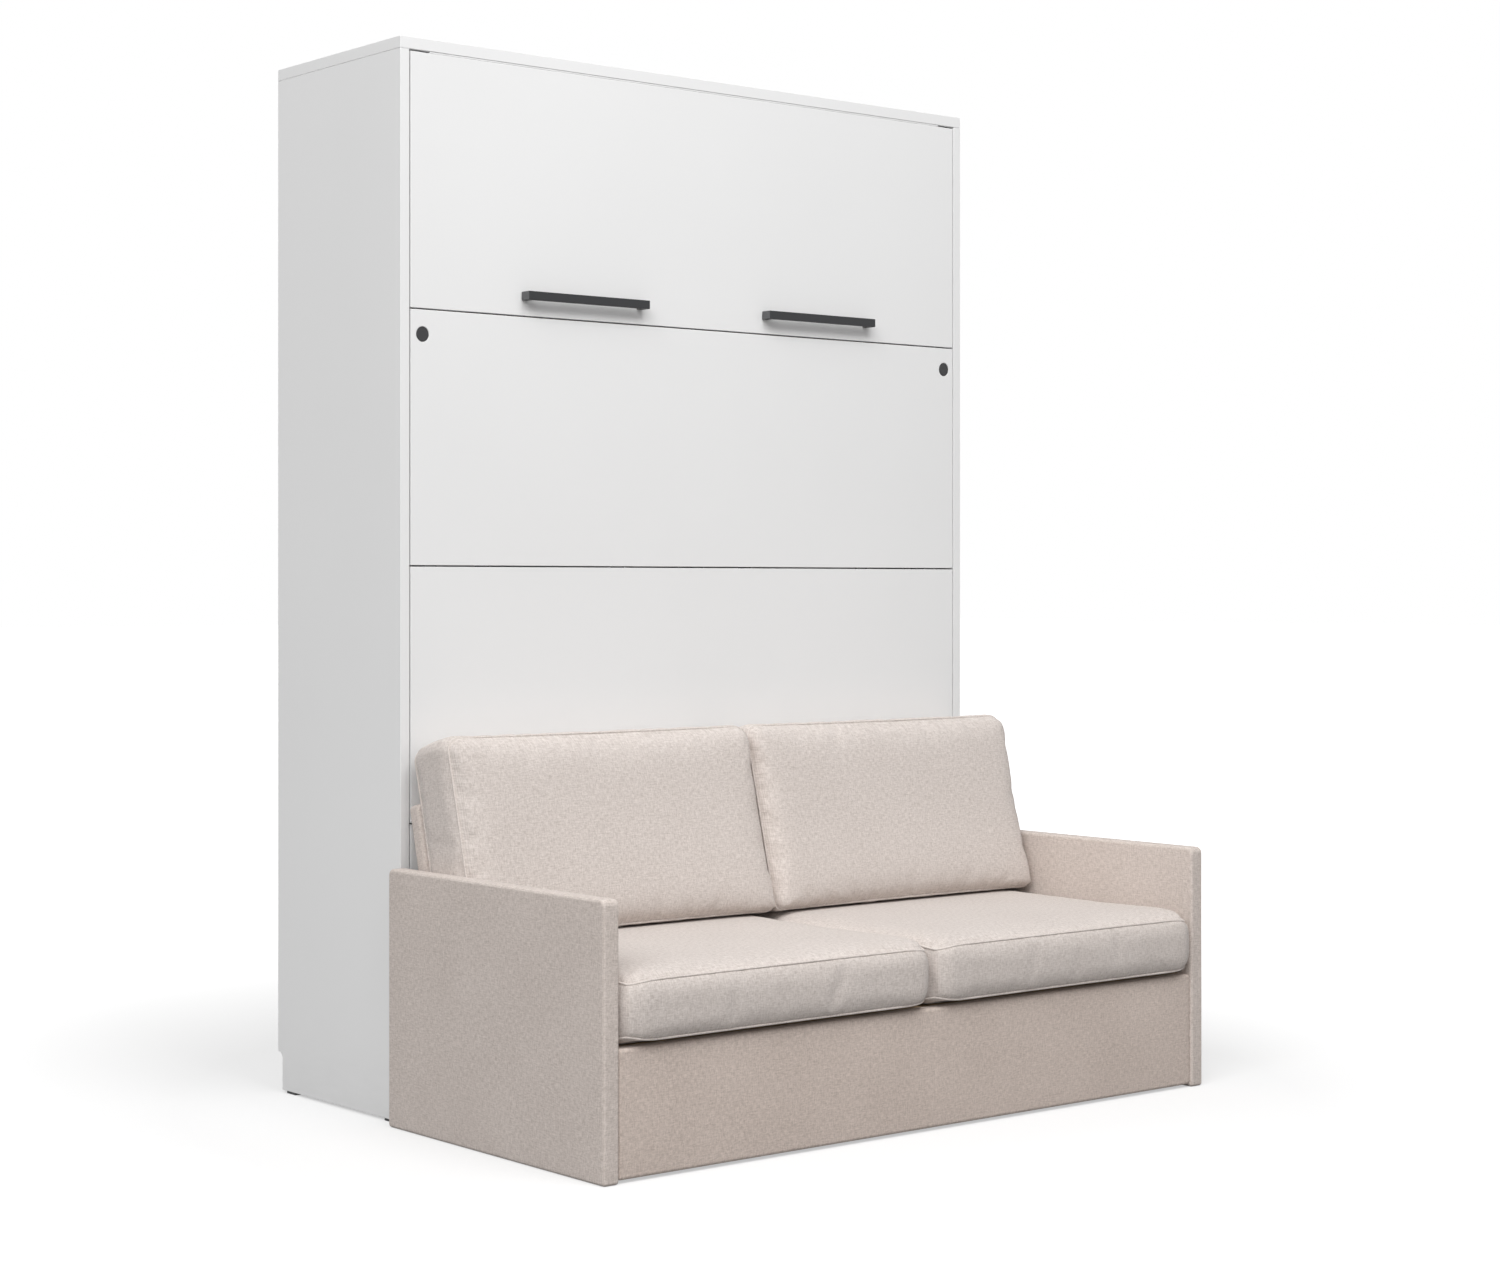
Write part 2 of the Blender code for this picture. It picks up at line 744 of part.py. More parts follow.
def build_legs(bed, uppers, lowers, looks):
    """Sleeve, tube, rod and foot cap of each two-stage leg, stowed along Y beside the mattress."""
    sleeve_start = rail_y
    tube_start = sleeve_start + touch_gap
    sleeve_bore = leg_tube_radius + running_gap
    tube_bore = leg_rod_radius + running_gap
    cap_start = touch_gap
    rod_start = cap_start + leg_cap_thickness - weld_overlap + 2 * touch_gap
    tube_length = leg_sleeve_length - leg_end_wall - leg_end_play
    rod_length = tube_length + tube_start - rod_start - leg_end_wall
    for side, label in ((-1, "left"), (1, "right")):
        x = side * leg_x
        away = Matrix.Rotation(math.radians(-90), 4, "X")
        bore_length = leg_sleeve_length - leg_end_wall
        sleeve = revolve_bm(
            [(sleeve_bore, 0), (leg_sleeve_radius, 0), (leg_sleeve_radius, leg_sleeve_length),
             (0, leg_sleeve_length), (0, bore_length), (sleeve_bore, bore_length)],
            round_segments, away, (x, sleeve_start, leg_height),
        )
        flange_x = sorted(
            (side * (frame_half_width + touch_gap),
             side * (frame_half_width + touch_gap + leg_flange_thickness))
        )
        flange = box_bm(
            (flange_x[0], rail_y, leg_height - leg_flange_half_height),
            (flange_x[1], rail_back_y, leg_height + leg_flange_half_height),
        )
        core = rod_bm(sleeve_bore, bore_length + cut_overrun, away,
                      (x, sleeve_start - cut_overrun, leg_height), round_segments)
        bracket = cut(merged(sleeve, [flange]), [core])
        origin = (x, sleeve_start, leg_height)
        add(f"leg_sleeve_{label}", bracket, looks["painted_steel"], bed, origin)
        tube = revolve_bm(
            [(tube_bore, 0), (leg_tube_radius, 0), (leg_tube_radius, tube_length),
             (tube_bore, tube_length)],
            round_segments, away, (x, tube_start, leg_height),
        )
        pivot = (x, 0, leg_height)
        add(f"leg_tube_{label}", tube, looks["bright_steel"], uppers[label], pivot)
        rod_wall_radius = leg_rod_radius - leg_tube_wall
        rod = revolve_bm(
            [(rod_wall_radius, 0), (leg_rod_radius, 0), (leg_rod_radius, rod_length),
             (rod_wall_radius, rod_length)],
            round_segments, away, (x, rod_start, leg_height),
        )
        add(f"leg_rod_{label}", rod, looks["bright_steel"], lowers[label], pivot)
        cap = revolve_bm(
            [(0, 0), (leg_cap_radius - leg_cap_edge_radius, 0), (leg_cap_radius, leg_cap_edge_radius),
             (leg_cap_radius, leg_cap_thickness - weld_overlap), (0, leg_cap_thickness - weld_overlap)],
            round_segments, away, (x, cap_start, leg_height),
        )
        add(f"leg_cap_{label}", cap, looks["black_plastic"], lowers[label], pivot)


def build_struts(cylinders, rods, looks):
    """Gas struts that hang from the cabinet sides to the foot of the bed frame."""
    anchor = Vector((0, strut_anchor_setback, strut_anchor_height))
    foot = Vector((0, strut_foot_setback, strut_foot_height))
    line = foot - anchor
    rest_length = line.length
    turn = Vector((0, 0, 1)).rotation_difference(line.normalized()).to_matrix().to_4x4()
    for side, label in ((-1, "left"), (1, "right")):
        place = Vector((side * strut_plane_x, strut_anchor_setback, strut_anchor_height))
        bore_radius = strut_rod_radius + running_gap
        cylinder = revolve_bm(
            [(0, strut_cylinder_start), (strut_cylinder_radius, strut_cylinder_start),
             (strut_cylinder_radius, strut_cylinder_end), (bore_radius, strut_cylinder_end),
             (bore_radius, strut_bore_start), (0, strut_bore_start)],
            round_segments, turn, place,
        )
        eye = strut_eye(side, place, turn, strut_cylinder_start + weld_overlap)
        hole = stud_hole(side, place)
        shape = cut(merged(cylinder, [eye]), [hole])
        add(f"strut_cylinder_{label}", shape, looks["black_metal"], cylinders[label], place)
        rod = revolve_bm(
            [(0, strut_rod_inner_end), (strut_rod_radius, strut_rod_inner_end),
             (strut_rod_radius, rest_length - strut_eye_radius / 2), (0, rest_length - strut_eye_radius / 2)],
            round_segments, turn, place,
        )
        low = place + line
        eye = rod_bm(
            strut_eye_radius, strut_eye_thickness, along_x,
            low - Vector((strut_eye_thickness / 2, 0, 0)), round_segments,
        )
        shape = cut(merged(rod, [eye]), [stud_hole(side, low)])
        add(f"strut_rod_{label}", shape, looks["bright_steel"], rods[label], place)


def strut_eye(side, place, turn, reach):
    """A flat eye about the stud, with a neck that runs into the strut's cylinder."""
    thickness = Vector((strut_eye_thickness / 2, 0, 0))
    eye = rod_bm(strut_eye_radius, strut_eye_thickness, along_x, place - thickness, round_segments)
    neck = box_bm(
        (-strut_eye_thickness / 2, -strut_eye_radius / 2, 0),
        (strut_eye_thickness / 2, strut_eye_radius / 2, reach),
    )
    bmesh.ops.transform(neck, matrix=Matrix.Translation(place) @ turn, verts=neck.verts)
    return merged(eye, [neck])


def stud_hole(side, place):
    """The hole that a stud passes through."""
    reach = strut_eye_thickness / 2 + cut_overrun
    return rod_bm(
        strut_stud_radius + running_gap, 2 * reach, along_x, place - Vector((reach, 0, 0))
    )


def arm_outline():
    """Sofa arm seen from the end, with soft upper corners."""
    front = -sofa_depth
    rear = -touch_gap
    lift = arm_height - arm_corner_radius
    return [
        (front, 0),
        (rear, 0),
        *arc((rear - arm_corner_radius, lift), arm_corner_radius, 0, 90, soft_corner_steps),
        *arc((front + arm_corner_radius, lift), arm_corner_radius, 90, 180, soft_corner_steps),
    ]


def build_sofa(holder, looks):
    """Arms, boards, deck and the angles that join the sofa to the cabinet's plinth."""
    fabric = looks["sofa_fabric"]
    for side, label in ((-1, "left"), (1, "right")):
        arm_x = sorted((side * arm_inner_x, side * sofa_width / 2))
        arm = prism_bm(arm_outline(), *arm_x)
        middle = (sum(arm_x) / 2, -sofa_depth / 2, arm_height / 2)
        add(f"sofa_arm_{label}", arm, fabric, holder, middle, arm_edge_radius, 3)
    front_back_y = front_board_y + front_board_thickness
    centred_box(
        "sofa_front_board",
        (-sofa_fit_x, front_board_y, front_board_bottom),
        (sofa_fit_x, front_back_y, front_board_top),
        fabric, holder, board_padding_radius, 3,
    )
    rear_back_y = rear_board_y + rear_board_thickness
    centred_box(
        "sofa_rear_board",
        (-sofa_fit_x, rear_board_y, front_board_bottom),
        (sofa_fit_x, rear_back_y, rear_board_top),
        fabric, holder, board_edge_radius, 2,
    )
    deck_low_z = deck_top - deck_thickness
    centred_box(
        "seat_deck",
        (-sofa_fit_x, front_back_y + touch_gap, deck_low_z),
        (sofa_fit_x, rear_board_y - touch_gap, deck_top),
        looks["plywood"], holder, board_edge_radius,
    )
    ledger_high = deck_low_z - touch_gap
    ledger_starts = (("front", front_back_y + touch_gap), ("rear", rear_board_y - touch_gap - ledger_size))
    for label, start in ledger_starts:
        centred_box(
            f"seat_ledger_{label}",
            (-sofa_fit_x, start, ledger_high - ledger_size),
            (sofa_fit_x, start + ledger_size, ledger_high),
            looks["beech"], holder, board_edge_radius,
        )
    for side, label in ((-1, "left"), (1, "right")):
        low_x = side * link_x - link_width / 2
        high_x = side * link_x + link_width / 2
        near_y = rear_back_y + touch_gap
        far_y = plinth_setback - touch_gap
        web = box_bm(
            (low_x, near_y + weld_inset, link_height),
            (high_x, far_y - weld_inset, link_height + link_thickness),
        )
        flange_low_z = link_height - link_flange
        flange_high_z = link_height + link_thickness
        near = box_bm((low_x, near_y, flange_low_z), (high_x, near_y + link_thickness, flange_high_z))
        far = box_bm((low_x, far_y - link_thickness, flange_low_z), (high_x, far_y, flange_high_z))
        shape = merged(web, [near, far])
        origin = (side * link_x, (near_y + far_y) / 2, link_height)
        add(f"sofa_link_{label}", shape, looks["bright_steel"], holder, origin)


def leaned(along, out):
    """A place on the backrest's section: along its height from the hinge, and out from its front face."""
    y = -hinge_setback + along * math.sin(backrest_lean) - out * math.cos(backrest_lean)
    z = hinge_height + along * math.cos(backrest_lean) + out * math.sin(backrest_lean)
    return (y, z)


def knuckle_span(number):
    """The ends of one knuckle of the long hinge."""
    pitch = 2 * hinge_half_length / hinge_knuckles
    low = -hinge_half_length + number * pitch + hinge_knuckle_gap / 2
    return low, low + pitch - hinge_knuckle_gap


def build_backrest(fixed, moving, looks):
    """The leaning backrest board and the long hinge that it folds on."""
    top_along = (backrest_top - hinge_height) / math.cos(backrest_lean)
    outline = [
        leaned(backrest_foot_play, 0),
        leaned(backrest_foot_play, -backrest_thickness),
        leaned(top_along, -backrest_thickness),
        leaned(top_along, 0),
    ]
    pivot = (0, -hinge_setback, hinge_height)
    board = prism_bm(outline, -backrest_half_width, backrest_half_width)
    add("backrest_board", board, looks["sofa_fabric"], moving, pivot, backrest_edge_radius, 3)
    leaf_back_y = rear_board_y - touch_gap
    leaf_front_y = leaf_back_y - hinge_leaf_thickness
    leaf_top = hinge_height - hinge_barrel_radius - 2 * touch_gap
    fixed_leaf = box_bm(
        (-hinge_half_length, leaf_front_y, leaf_top - hinge_leaf_width),
        (hinge_half_length, leaf_back_y, leaf_top),
    )
    swing_start = hinge_barrel_radius + 2 * touch_gap
    swing_outline = [
        leaned(swing_start, touch_gap),
        leaned(swing_start + hinge_leaf_width, touch_gap),
        leaned(swing_start + hinge_leaf_width, touch_gap + hinge_leaf_thickness),
        leaned(swing_start, touch_gap + hinge_leaf_thickness),
    ]
    swing_leaf = prism_bm(swing_outline, -hinge_half_length, hinge_half_length)
    pin_reach = hinge_half_length - hinge_knuckle_gap
    pin = rod_bm(
        hinge_pin_radius, 2 * pin_reach, along_x, (-pin_reach, -hinge_setback, hinge_height), small_segments
    )
    fixed_parts = []
    swing_parts = []
    for number in range(hinge_knuckles):
        low, high = knuckle_span(number)
        place = (low, -hinge_setback, hinge_height)
        barrel = rod_bm(hinge_barrel_radius, high - low, along_x, place, small_segments)
        if number % 2 == 0:
            tab = box_bm(
                (low + weld_overlap, leaf_front_y + weld_inset, leaf_top - weld_overlap),
                (high - weld_overlap, leaf_back_y - weld_inset, hinge_height),
            )
            fixed_parts += [tab, barrel]
        else:
            near = touch_gap + weld_inset
            far = touch_gap + hinge_leaf_thickness - weld_inset
            tab_outline = [
                leaned(0, near),
                leaned(swing_start + weld_overlap, near),
                leaned(swing_start + weld_overlap, far),
                leaned(0, far),
            ]
            tab = prism_bm(tab_outline, low + weld_overlap, high - weld_overlap)
            swing_parts += [tab, barrel]
    fixed_shape = merged(fixed_leaf, [*fixed_parts, pin])
    add("backrest_hinge_fixed", fixed_shape, looks["bright_steel"], fixed, pivot)
    bore = rod_bm(
        hinge_pin_radius + running_gap, 2 * hinge_half_length, along_x,
        (-hinge_half_length, -hinge_setback, hinge_height), small_segments,
    )
    swing_shape = cut(merged(swing_leaf, swing_parts), [bore])
    add("backrest_hinge_moving", swing_shape, looks["bright_steel"], moving, pivot)


def cushion_bm(size, gusset_share, crowns, draw_in, full_share=1):
    """A boxed cushion about its middle: X across, Y deep, Z thick, crowned between its sewn edges.

    Where its lower panel's fill reaches full_share, what the cushion lies on presses it flat.
    """
    bm = bmesh.new()
    bmesh.ops.create_cube(bm, size=2)
    bmesh.ops.subdivide_edges(bm, edges=list(bm.edges), cuts=cushion_cuts, use_grid_fill=True)
    width, depth, thickness = size
    for vert in bm.verts:
        u, v, w = (c + (math.sin(math.pi / 2 * c) - c) * cushion_spread_share for c in vert.co)
        fill = (1 - u ** crown_power) * (1 - v ** crown_power)
        pressed = min(1, fill / full_share)
        rise = crowns[1] * fill if w > 0 else crowns[0] * pressed
        height = w * (gusset_share / 2 + rise)
        corner = cushion_corner_pull * (u * v) ** corner_power
        side_u = u ** side_power * (1 - v * v)
        side_v = v ** side_power * (1 - u * u)
        bulge = cushion_gusset_bulge * (1 - w * w)
        x = u * (width / 2 - corner - draw_in * side_u) + math.copysign(bulge * u ** corner_power, u)
        y = v * (depth / 2 - corner - draw_in * side_v) + math.copysign(bulge * v ** corner_power, v)
        vert.co = (x, y, height * thickness)
    return fitted(bm, size)


def fitted(bm, size):
    """Stretch a shape so that it fills its box exactly, from its lowest corner at zero."""
    low = Vector([min(v.co[i] for v in bm.verts) for i in range(3)])
    high = Vector([max(v.co[i] for v in bm.verts) for i in range(3)])
    bmesh.ops.translate(bm, vec=-low, verts=bm.verts)
    stretch = [size[i] / (high[i] - low[i]) for i in range(3)]
    bmesh.ops.scale(bm, vec=stretch, verts=bm.verts)
    return bm


def build_seat_cushions(holder, looks):
    """Two box cushions side by side on the deck."""
    low_x = cushion_middle_gap
    high_x = sofa_fit_x - cushion_side_gap
    base_z = deck_top + 2 * touch_gap
    size = (high_x - low_x, seat_rear_y - seat_front_y, seat_top - base_z)
    roll_share = seat_underside_roll / size[2]
    crown_share = (seat_top - seat_edge_top) / size[2]
    gusset_share = 1 - roll_share - crown_share
    for side, label in ((-1, "left"), (1, "right")):
        crowns = (roll_share, crown_share)
        bm = cushion_bm(size, gusset_share, crowns, seat_draw_in, pressed_fill_share)
        start_x = low_x if side > 0 else -high_x
        bmesh.ops.translate(bm, vec=(start_x, seat_front_y, base_z), verts=bm.verts)
        middle = (start_x + size[0] / 2, seat_front_y + size[1] / 2, base_z)
        add(f"seat_cushion_{label}", bm, looks["sofa_fabric"], holder, middle)


def back_cushion_sizes():
    """Width, height and thickness of a back cushion, and the height of its base."""
    base_z = seat_top + 2 * touch_gap
    width = sofa_fit_x - cushion_side_gap - cushion_middle_gap
    return width, back_cushion_top - base_z, back_cushion_thickness, base_z


def build_back_cushions(holders, looks, pivot):
    """Two loose cushions that stand on the seat and lean on the backrest board."""
    width, height, thickness, base_z = back_cushion_sizes()
    gusset_share = back_cushion_gusset / thickness
    crown = 1 - gusset_share
    rear_low_y = leaned(0, back_cushion_clearance)[0]
    for side, label in ((-1, "left"), (1, "right")):
        crowns = (crown * rear_crown_share, crown)
        bm = cushion_bm((width, height, thickness), gusset_share, crowns, back_cushion_draw_in)
        stand = Matrix.Rotation(math.radians(90), 4, "X")
        bmesh.ops.transform(bm, matrix=stand, verts=bm.verts)
        lean = math.tan(backrest_lean)
        seam_y = back_cushion_gusset - thickness
        for vert in bm.verts:
            behind_seam = max(0, vert.co.y - seam_y)
            vert.co.z -= behind_seam * lean * (vert.co.z / height) ** 2
            vert.co.y += vert.co.z * lean
        start_x = cushion_middle_gap if side > 0 else -cushion_middle_gap - width
        bmesh.ops.translate(bm, vec=(start_x, rear_low_y, base_z), verts=bm.verts)
        add(f"back_cushion_{label}", bm, looks["sofa_fabric"], holders[label], pivot)


def cushion_pivot():
    """The axis about which a back cushion reaches its place on the floor ahead of the lowered bed."""
    _, height, thickness, base_z = back_cushion_sizes()
    turn = fold_angle + backrest_lean
    lean = math.tan(backrest_lean)
    start_y = leaned(0, back_cushion_clearance)[0] - thickness / 2 + height / 2 * lean
    start = Vector((start_y, base_z + height / 2))
    goal = Vector((stowed_cushion_y, stowed_cushion_z))
    chord = goal - start
    radius = chord.length / 2 / math.sin(turn / 2)
    across = Vector((chord.y, -chord.x)).normalized()
    if across.y > 0:
        across = -across
    return (start + goal) / 2 + across * radius * math.cos(turn / 2)


def print_motion():
    """Say where each joint lies, in the object's own frame, for the record of the assembly."""
    shift = Vector((0, cabinet_front_y, 0))
    anchor = Vector((0, strut_anchor_setback, strut_anchor_height))
    foot = Vector((0, strut_foot_setback, strut_foot_height))
    pivot = Vector((0, pivot_setback, pivot_height))
    arm = foot - pivot
    lowered = pivot + Vector((0, -arm.z, arm.y))
    before = foot - anchor
    after = lowered - anchor
    swing = math.atan2(after.z, after.y) - math.atan2(before.z, before.y)
    cushion = cushion_pivot()
    print("front plane y", cabinet_front_y)
    print("bed pivot", tuple(pivot + shift))
    print("leg travel", leg_travel, "leg x", leg_x, "leg z", leg_height)
    print("strut anchor", tuple(anchor + shift), "direction", tuple(before.normalized()))
    print("strut swing degrees", math.degrees(swing), "stroke", before.length - after.length)
    print("backrest pivot", (0, -hinge_setback + cabinet_front_y, hinge_height))
    print("cushion pivot", (0, cushion.x + cabinet_front_y, cushion.y))
    print("fold degrees", math.degrees(fold_angle), math.degrees(fold_angle + backrest_lean))


def main():
    """Build every piece under the empty of its body."""
    clear_scene()
    looks = {name: finish(name, *values) for name, values in make_finishes().items()}
    assembly = empty("assembly", None, (0, cabinet_front_y, 0))

    def body(name, place, parent=assembly):
        """An empty on a joint's axis that remembers its place before the shift."""
        at = Vector(place) - Vector(parent.get("place", (0, 0, 0)))
        holder = empty(name, parent, at)
        holder["place"] = tuple(place)
        return holder

    bed = body("bed_axis", (0, pivot_setback, pivot_height))
    uppers = {}
    lowers = {}
    cylinders = {}
    rods = {}
    cushions = {}
    cushion_axis = cushion_pivot()
    cushion_place = (0, cushion_axis.x, cushion_axis.y)
    for side, label in ((-1, "left"), (1, "right")):
        leg_place = (side * leg_x, 0, leg_height)
        uppers[label] = body(f"leg_tube_axis_{label}", leg_place, bed)
        lowers[label] = body(f"leg_rod_axis_{label}", leg_place, uppers[label])
        strut_place = (side * strut_plane_x, strut_anchor_setback, strut_anchor_height)
        cylinders[label] = body(f"strut_axis_{label}", strut_place)
        rods[label] = body(f"strut_rod_axis_{label}", strut_place, cylinders[label])
        cushions[label] = body(f"cushion_axis_{label}", cushion_place)
    backrest = body("backrest_axis", (0, -hinge_setback, hinge_height))

    build_cabinet(assembly, looks)
    build_pivot_plates(assembly, looks)
    build_panels(bed, looks)
    build_bed_frame(bed, looks)
    build_slats(bed, looks)
    build_mattress(bed, looks)
    build_legs(bed, uppers, lowers, looks)
    build_struts(cylinders, rods, looks)
    build_sofa(assembly, looks)
    build_backrest(assembly, backrest, looks)
    build_seat_cushions(assembly, looks)
    build_back_cushions(cushions, looks, cushion_place)
    print_motion()


main()
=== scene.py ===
"""Dress the wall bed with sofa: white laminate cabinet, anthracite fittings and woven upholstery.

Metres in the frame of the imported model: +X to the right, -Y to the front, +Z up. A finished
piece's object sits at the origin with its place in its mesh, and rides on the body that carries it.
"""

import json
import logging
import math
from dataclasses import dataclass
from enum import Enum
from typing import Callable, Iterable, Sequence

import bmesh
import bpy
import numpy as np
from mathutils import Matrix, Vector, noise

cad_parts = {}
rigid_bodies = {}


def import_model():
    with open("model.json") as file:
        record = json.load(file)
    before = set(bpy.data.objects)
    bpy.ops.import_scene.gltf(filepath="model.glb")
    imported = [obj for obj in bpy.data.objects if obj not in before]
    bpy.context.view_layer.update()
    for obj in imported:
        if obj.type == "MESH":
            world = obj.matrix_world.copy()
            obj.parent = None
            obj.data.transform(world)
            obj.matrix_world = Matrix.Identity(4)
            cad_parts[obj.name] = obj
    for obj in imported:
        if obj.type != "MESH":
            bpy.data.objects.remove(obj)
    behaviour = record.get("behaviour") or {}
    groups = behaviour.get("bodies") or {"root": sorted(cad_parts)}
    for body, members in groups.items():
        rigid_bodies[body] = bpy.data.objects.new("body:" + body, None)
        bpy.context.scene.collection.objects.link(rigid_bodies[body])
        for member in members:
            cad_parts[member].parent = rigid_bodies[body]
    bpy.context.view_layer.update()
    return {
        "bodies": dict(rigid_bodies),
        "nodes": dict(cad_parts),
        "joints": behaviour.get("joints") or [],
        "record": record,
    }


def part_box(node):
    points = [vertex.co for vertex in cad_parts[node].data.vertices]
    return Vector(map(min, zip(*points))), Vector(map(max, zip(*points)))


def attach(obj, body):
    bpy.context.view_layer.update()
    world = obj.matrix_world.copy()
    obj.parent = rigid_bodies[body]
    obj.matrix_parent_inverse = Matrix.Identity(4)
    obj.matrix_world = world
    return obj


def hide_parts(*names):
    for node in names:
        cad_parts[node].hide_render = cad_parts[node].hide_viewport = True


Colour = tuple[float, float, float]
Point = tuple[float, float, float]
Range = tuple[float, float]
Socket = bpy.types.NodeSocket
Material = bpy.types.Material
Piece = bpy.types.Object
BMesh = bmesh.types.BMesh
Stand = Callable[[np.ndarray], np.ndarray]

LOG = logging.getLogger("wall_bed")
PHOTO_WIDTH = 1500
PHOTO_HEIGHT = 1271
WHITE: Colour = (1.0, 1.0, 1.0)
FULL: Range = (0.0, 1.0)
NOISE_BAND: Range = (0.3, 0.7)  # where most of a noise lies
CLOTH_MAP = "cloth"  # the UV map of a piece's own cloth, in metres
SEAM_LAYER = "seam_distance"
SEAM_GROUP = "seams"
PAST_SEAMS = 1.0  # a distance at which no seam gathers the cloth
AT_EDGE = 0.9999  # the share from which a point of a grid lies on its edge
TOUCH = 1e-6  # metres within which points count as one
NEAR_ZERO = 1e-9
ALIGNED = 0.999  # the share of an edge's length from which it runs along an axis
SHARP_ANGLE = math.radians(50)
CORD_RESOLUTION = 2
CLOTH_FRAMES = 20
CLOTH_SETTINGS = {
    "quality": 5,
    "mass": 0.3,
    "air_damping": 4.0,
    "tension_stiffness": 25.0,
    "compression_stiffness": 20.0,
    "shear_stiffness": 8.0,
    "bending_stiffness": 2.0,
    "use_pressure": True,
    "vertex_group_mass": SEAM_GROUP,
}


class Side(Enum):
    """The two mirrored halves, as seen from the front."""

    LEFT = "left"
    RIGHT = "right"

    @property
    def sign(self) -> int:
        """The sign of X on this side."""
        return -1 if self is Side.LEFT else 1


class Axis(Enum):
    """The main direction of a grain, a row of edges or a face."""

    X = 0
    Y = 1
    Z = 2


def tinted(colour: Colour, factor: float) -> Colour:
    """A colour with each part multiplied."""
    return tuple(part * factor for part in colour)


def around(middle: float, swing: Range) -> Range:
    """The range that swings below and above a value."""
    return middle + swing[0], middle + swing[1]


class Sketch:
    """The node tree of a material or world, with short calls for the nodes that they share."""

    def __init__(self, holder: Material | bpy.types.World) -> None:
        """Start from the holder's own nodes.

        Args:
            holder: The material or world.
        """
        holder.use_nodes = True
        self.holder = holder
        self.tree = holder.node_tree

    def put(self, target: Socket, value: object) -> None:
        """Link a socket, or set a number, vector or colour, on an input.

        Args:
            target: The input.
            value: A socket to link, or the value to set.
        """
        if isinstance(value, Socket):
            self.tree.links.new(value, target)
        elif target.type == "RGBA":
            target.default_value = (*value, 1.0)
        else:
            target.default_value = value

    def node(
        self, kind: str, feeds: dict[str | int, object] | None = None, **settings: object
    ) -> bpy.types.Node:
        """Add a node.

        Args:
            kind: The node's class name without its "ShaderNode" prefix.
            feeds: Sockets or values for its inputs, by name or number.
            settings: Properties to set on it.

        Returns:
            The new node.
        """
        made = self.tree.nodes.new("ShaderNode" + kind)
        for key, value in settings.items():
            setattr(made, key, value)
        for key, value in (feeds or {}).items():
            self.put(made.inputs[key], value)
        return made

    def calc(self, operation: str, *values: object) -> Socket:
        """The result of one Math node."""
        return self.node("Math", dict(enumerate(values)), operation=operation).outputs[0]

    def sway(self, tone: object, by: Socket, gain: float, middle: float = 0.5) -> Socket:
        """A tone moved by how far another value is from its middle."""
        return self.calc("MULTIPLY_ADD", self.calc("SUBTRACT", by, middle), gain, tone)

    def place(self) -> Socket:
        """The Object coordinates."""
        return self.node("TexCoord").outputs["Object"]

    def flat(self) -> Socket:
        """The place on the piece's own cloth, in metres."""
        return self.node("UVMap", uv_map=CLOTH_MAP).outputs[0]

    def facing(self) -> Socket:
        """The way that the surface faces."""
        return self.node("NewGeometry").outputs["Normal"]

    def split(self, vector: Socket) -> tuple[Socket, ...]:
        """The three parts of a vector."""
        return tuple(self.node("SeparateXYZ", {0: vector}).outputs)

    def join(self, x: object, y: object, z: object = 0.0) -> Socket:
        """A vector from three parts."""
        return self.node("CombineXYZ", {0: x, 1: y, 2: z}).outputs[0]

    def drawn(self, vector: Socket, run: Axis | None, share: float) -> Socket:
        """Coordinates scaled along one axis, which draws a pattern out there or crowds it."""
        scale = tuple(share if axis is run else 1.0 for axis in Axis)
        return self.node("Mapping", {"Vector": vector, "Scale": scale}).outputs[0]

    def grain(
        self, vector: Socket, scale: float, detail: float = 2.0, outlet: str = "Fac"
    ) -> Socket:
        """Noise about 0.5, with its waves to the metre and its octaves."""
        feeds = {"Vector": vector, "Scale": scale, "Detail": detail}
        return self.node("TexNoise", feeds).outputs[outlet]

    def span(self, value: Socket, source: Range, target: Range = FULL) -> Socket:
        """Carry a range of values over to another, clamped.

        Args:
            value: The value.
            source: Its range.
            target: What the range's two ends become.

        Returns:
            target: What the range's two limits become.
        """
        keys = ("From Min", "From Max", "To Min", "To Max")
        feeds = {"Value": value, **dict(zip(keys, (*source, *target)))}
        return self.node("MapRange", feeds).outputs[0]

    def blend(self, share: object, first: object, second: object) -> Socket:
        """Two colours or their sockets, mixed by the share of the second."""
        feeds = {"Factor": share, "A": first, "B": second}
        return self.node("Mix", feeds, data_type="RGBA").outputs["Result"]

    def relief(
        self, height: Socket, distance: float, strength: float = 1.0, under: Socket | None = None
    ) -> Socket:
        """Bump from a height.

        Args:
            height: The height, about 0 to 1.
            distance: What a height of 1 stands for, in metres.
            strength: How much of it shows.
            under: A normal from another relief to lie on.

        Returns:
            The bumped normal.
        """
        feeds = {"Height": height, "Distance": distance, "Strength": strength}
        if under is not None:
            feeds["Normal"] = under
        return self.node("Bump", feeds).outputs[0]

    def in_view(self) -> Socket:
        """Tell the rays that show a surface from those that light others.

        Returns:
            1 for camera, glossy and transmission rays, else 0.
        """
        rays = self.node("LightPath").outputs
        seen = self.calc("MAXIMUM", rays["Is Camera Ray"], rays["Is Glossy Ray"])
        return self.calc("MAXIMUM", seen, rays["Is Transmission Ray"])

    def finish(
        self, colour: object, roughness: object, normal: Socket, **constants: float
    ) -> Material:
        """Wire the shader.

        Args:
            colour: A colour or its socket.
            roughness: A number or its socket.
            normal: A bumped normal.
            constants: Other inputs by name, with _ for a space, set on the shader's own sockets.

        Returns:
            The finished material.
        """
        inputs = self.tree.nodes["Principled BSDF"].inputs
        self.put(inputs["Base Color"], colour)
        self.put(inputs["Roughness"], roughness)
        self.put(inputs["Normal"], normal)
        for key, value in constants.items():
            inputs[key.replace("_", " ")].default_value = value
        return self.holder


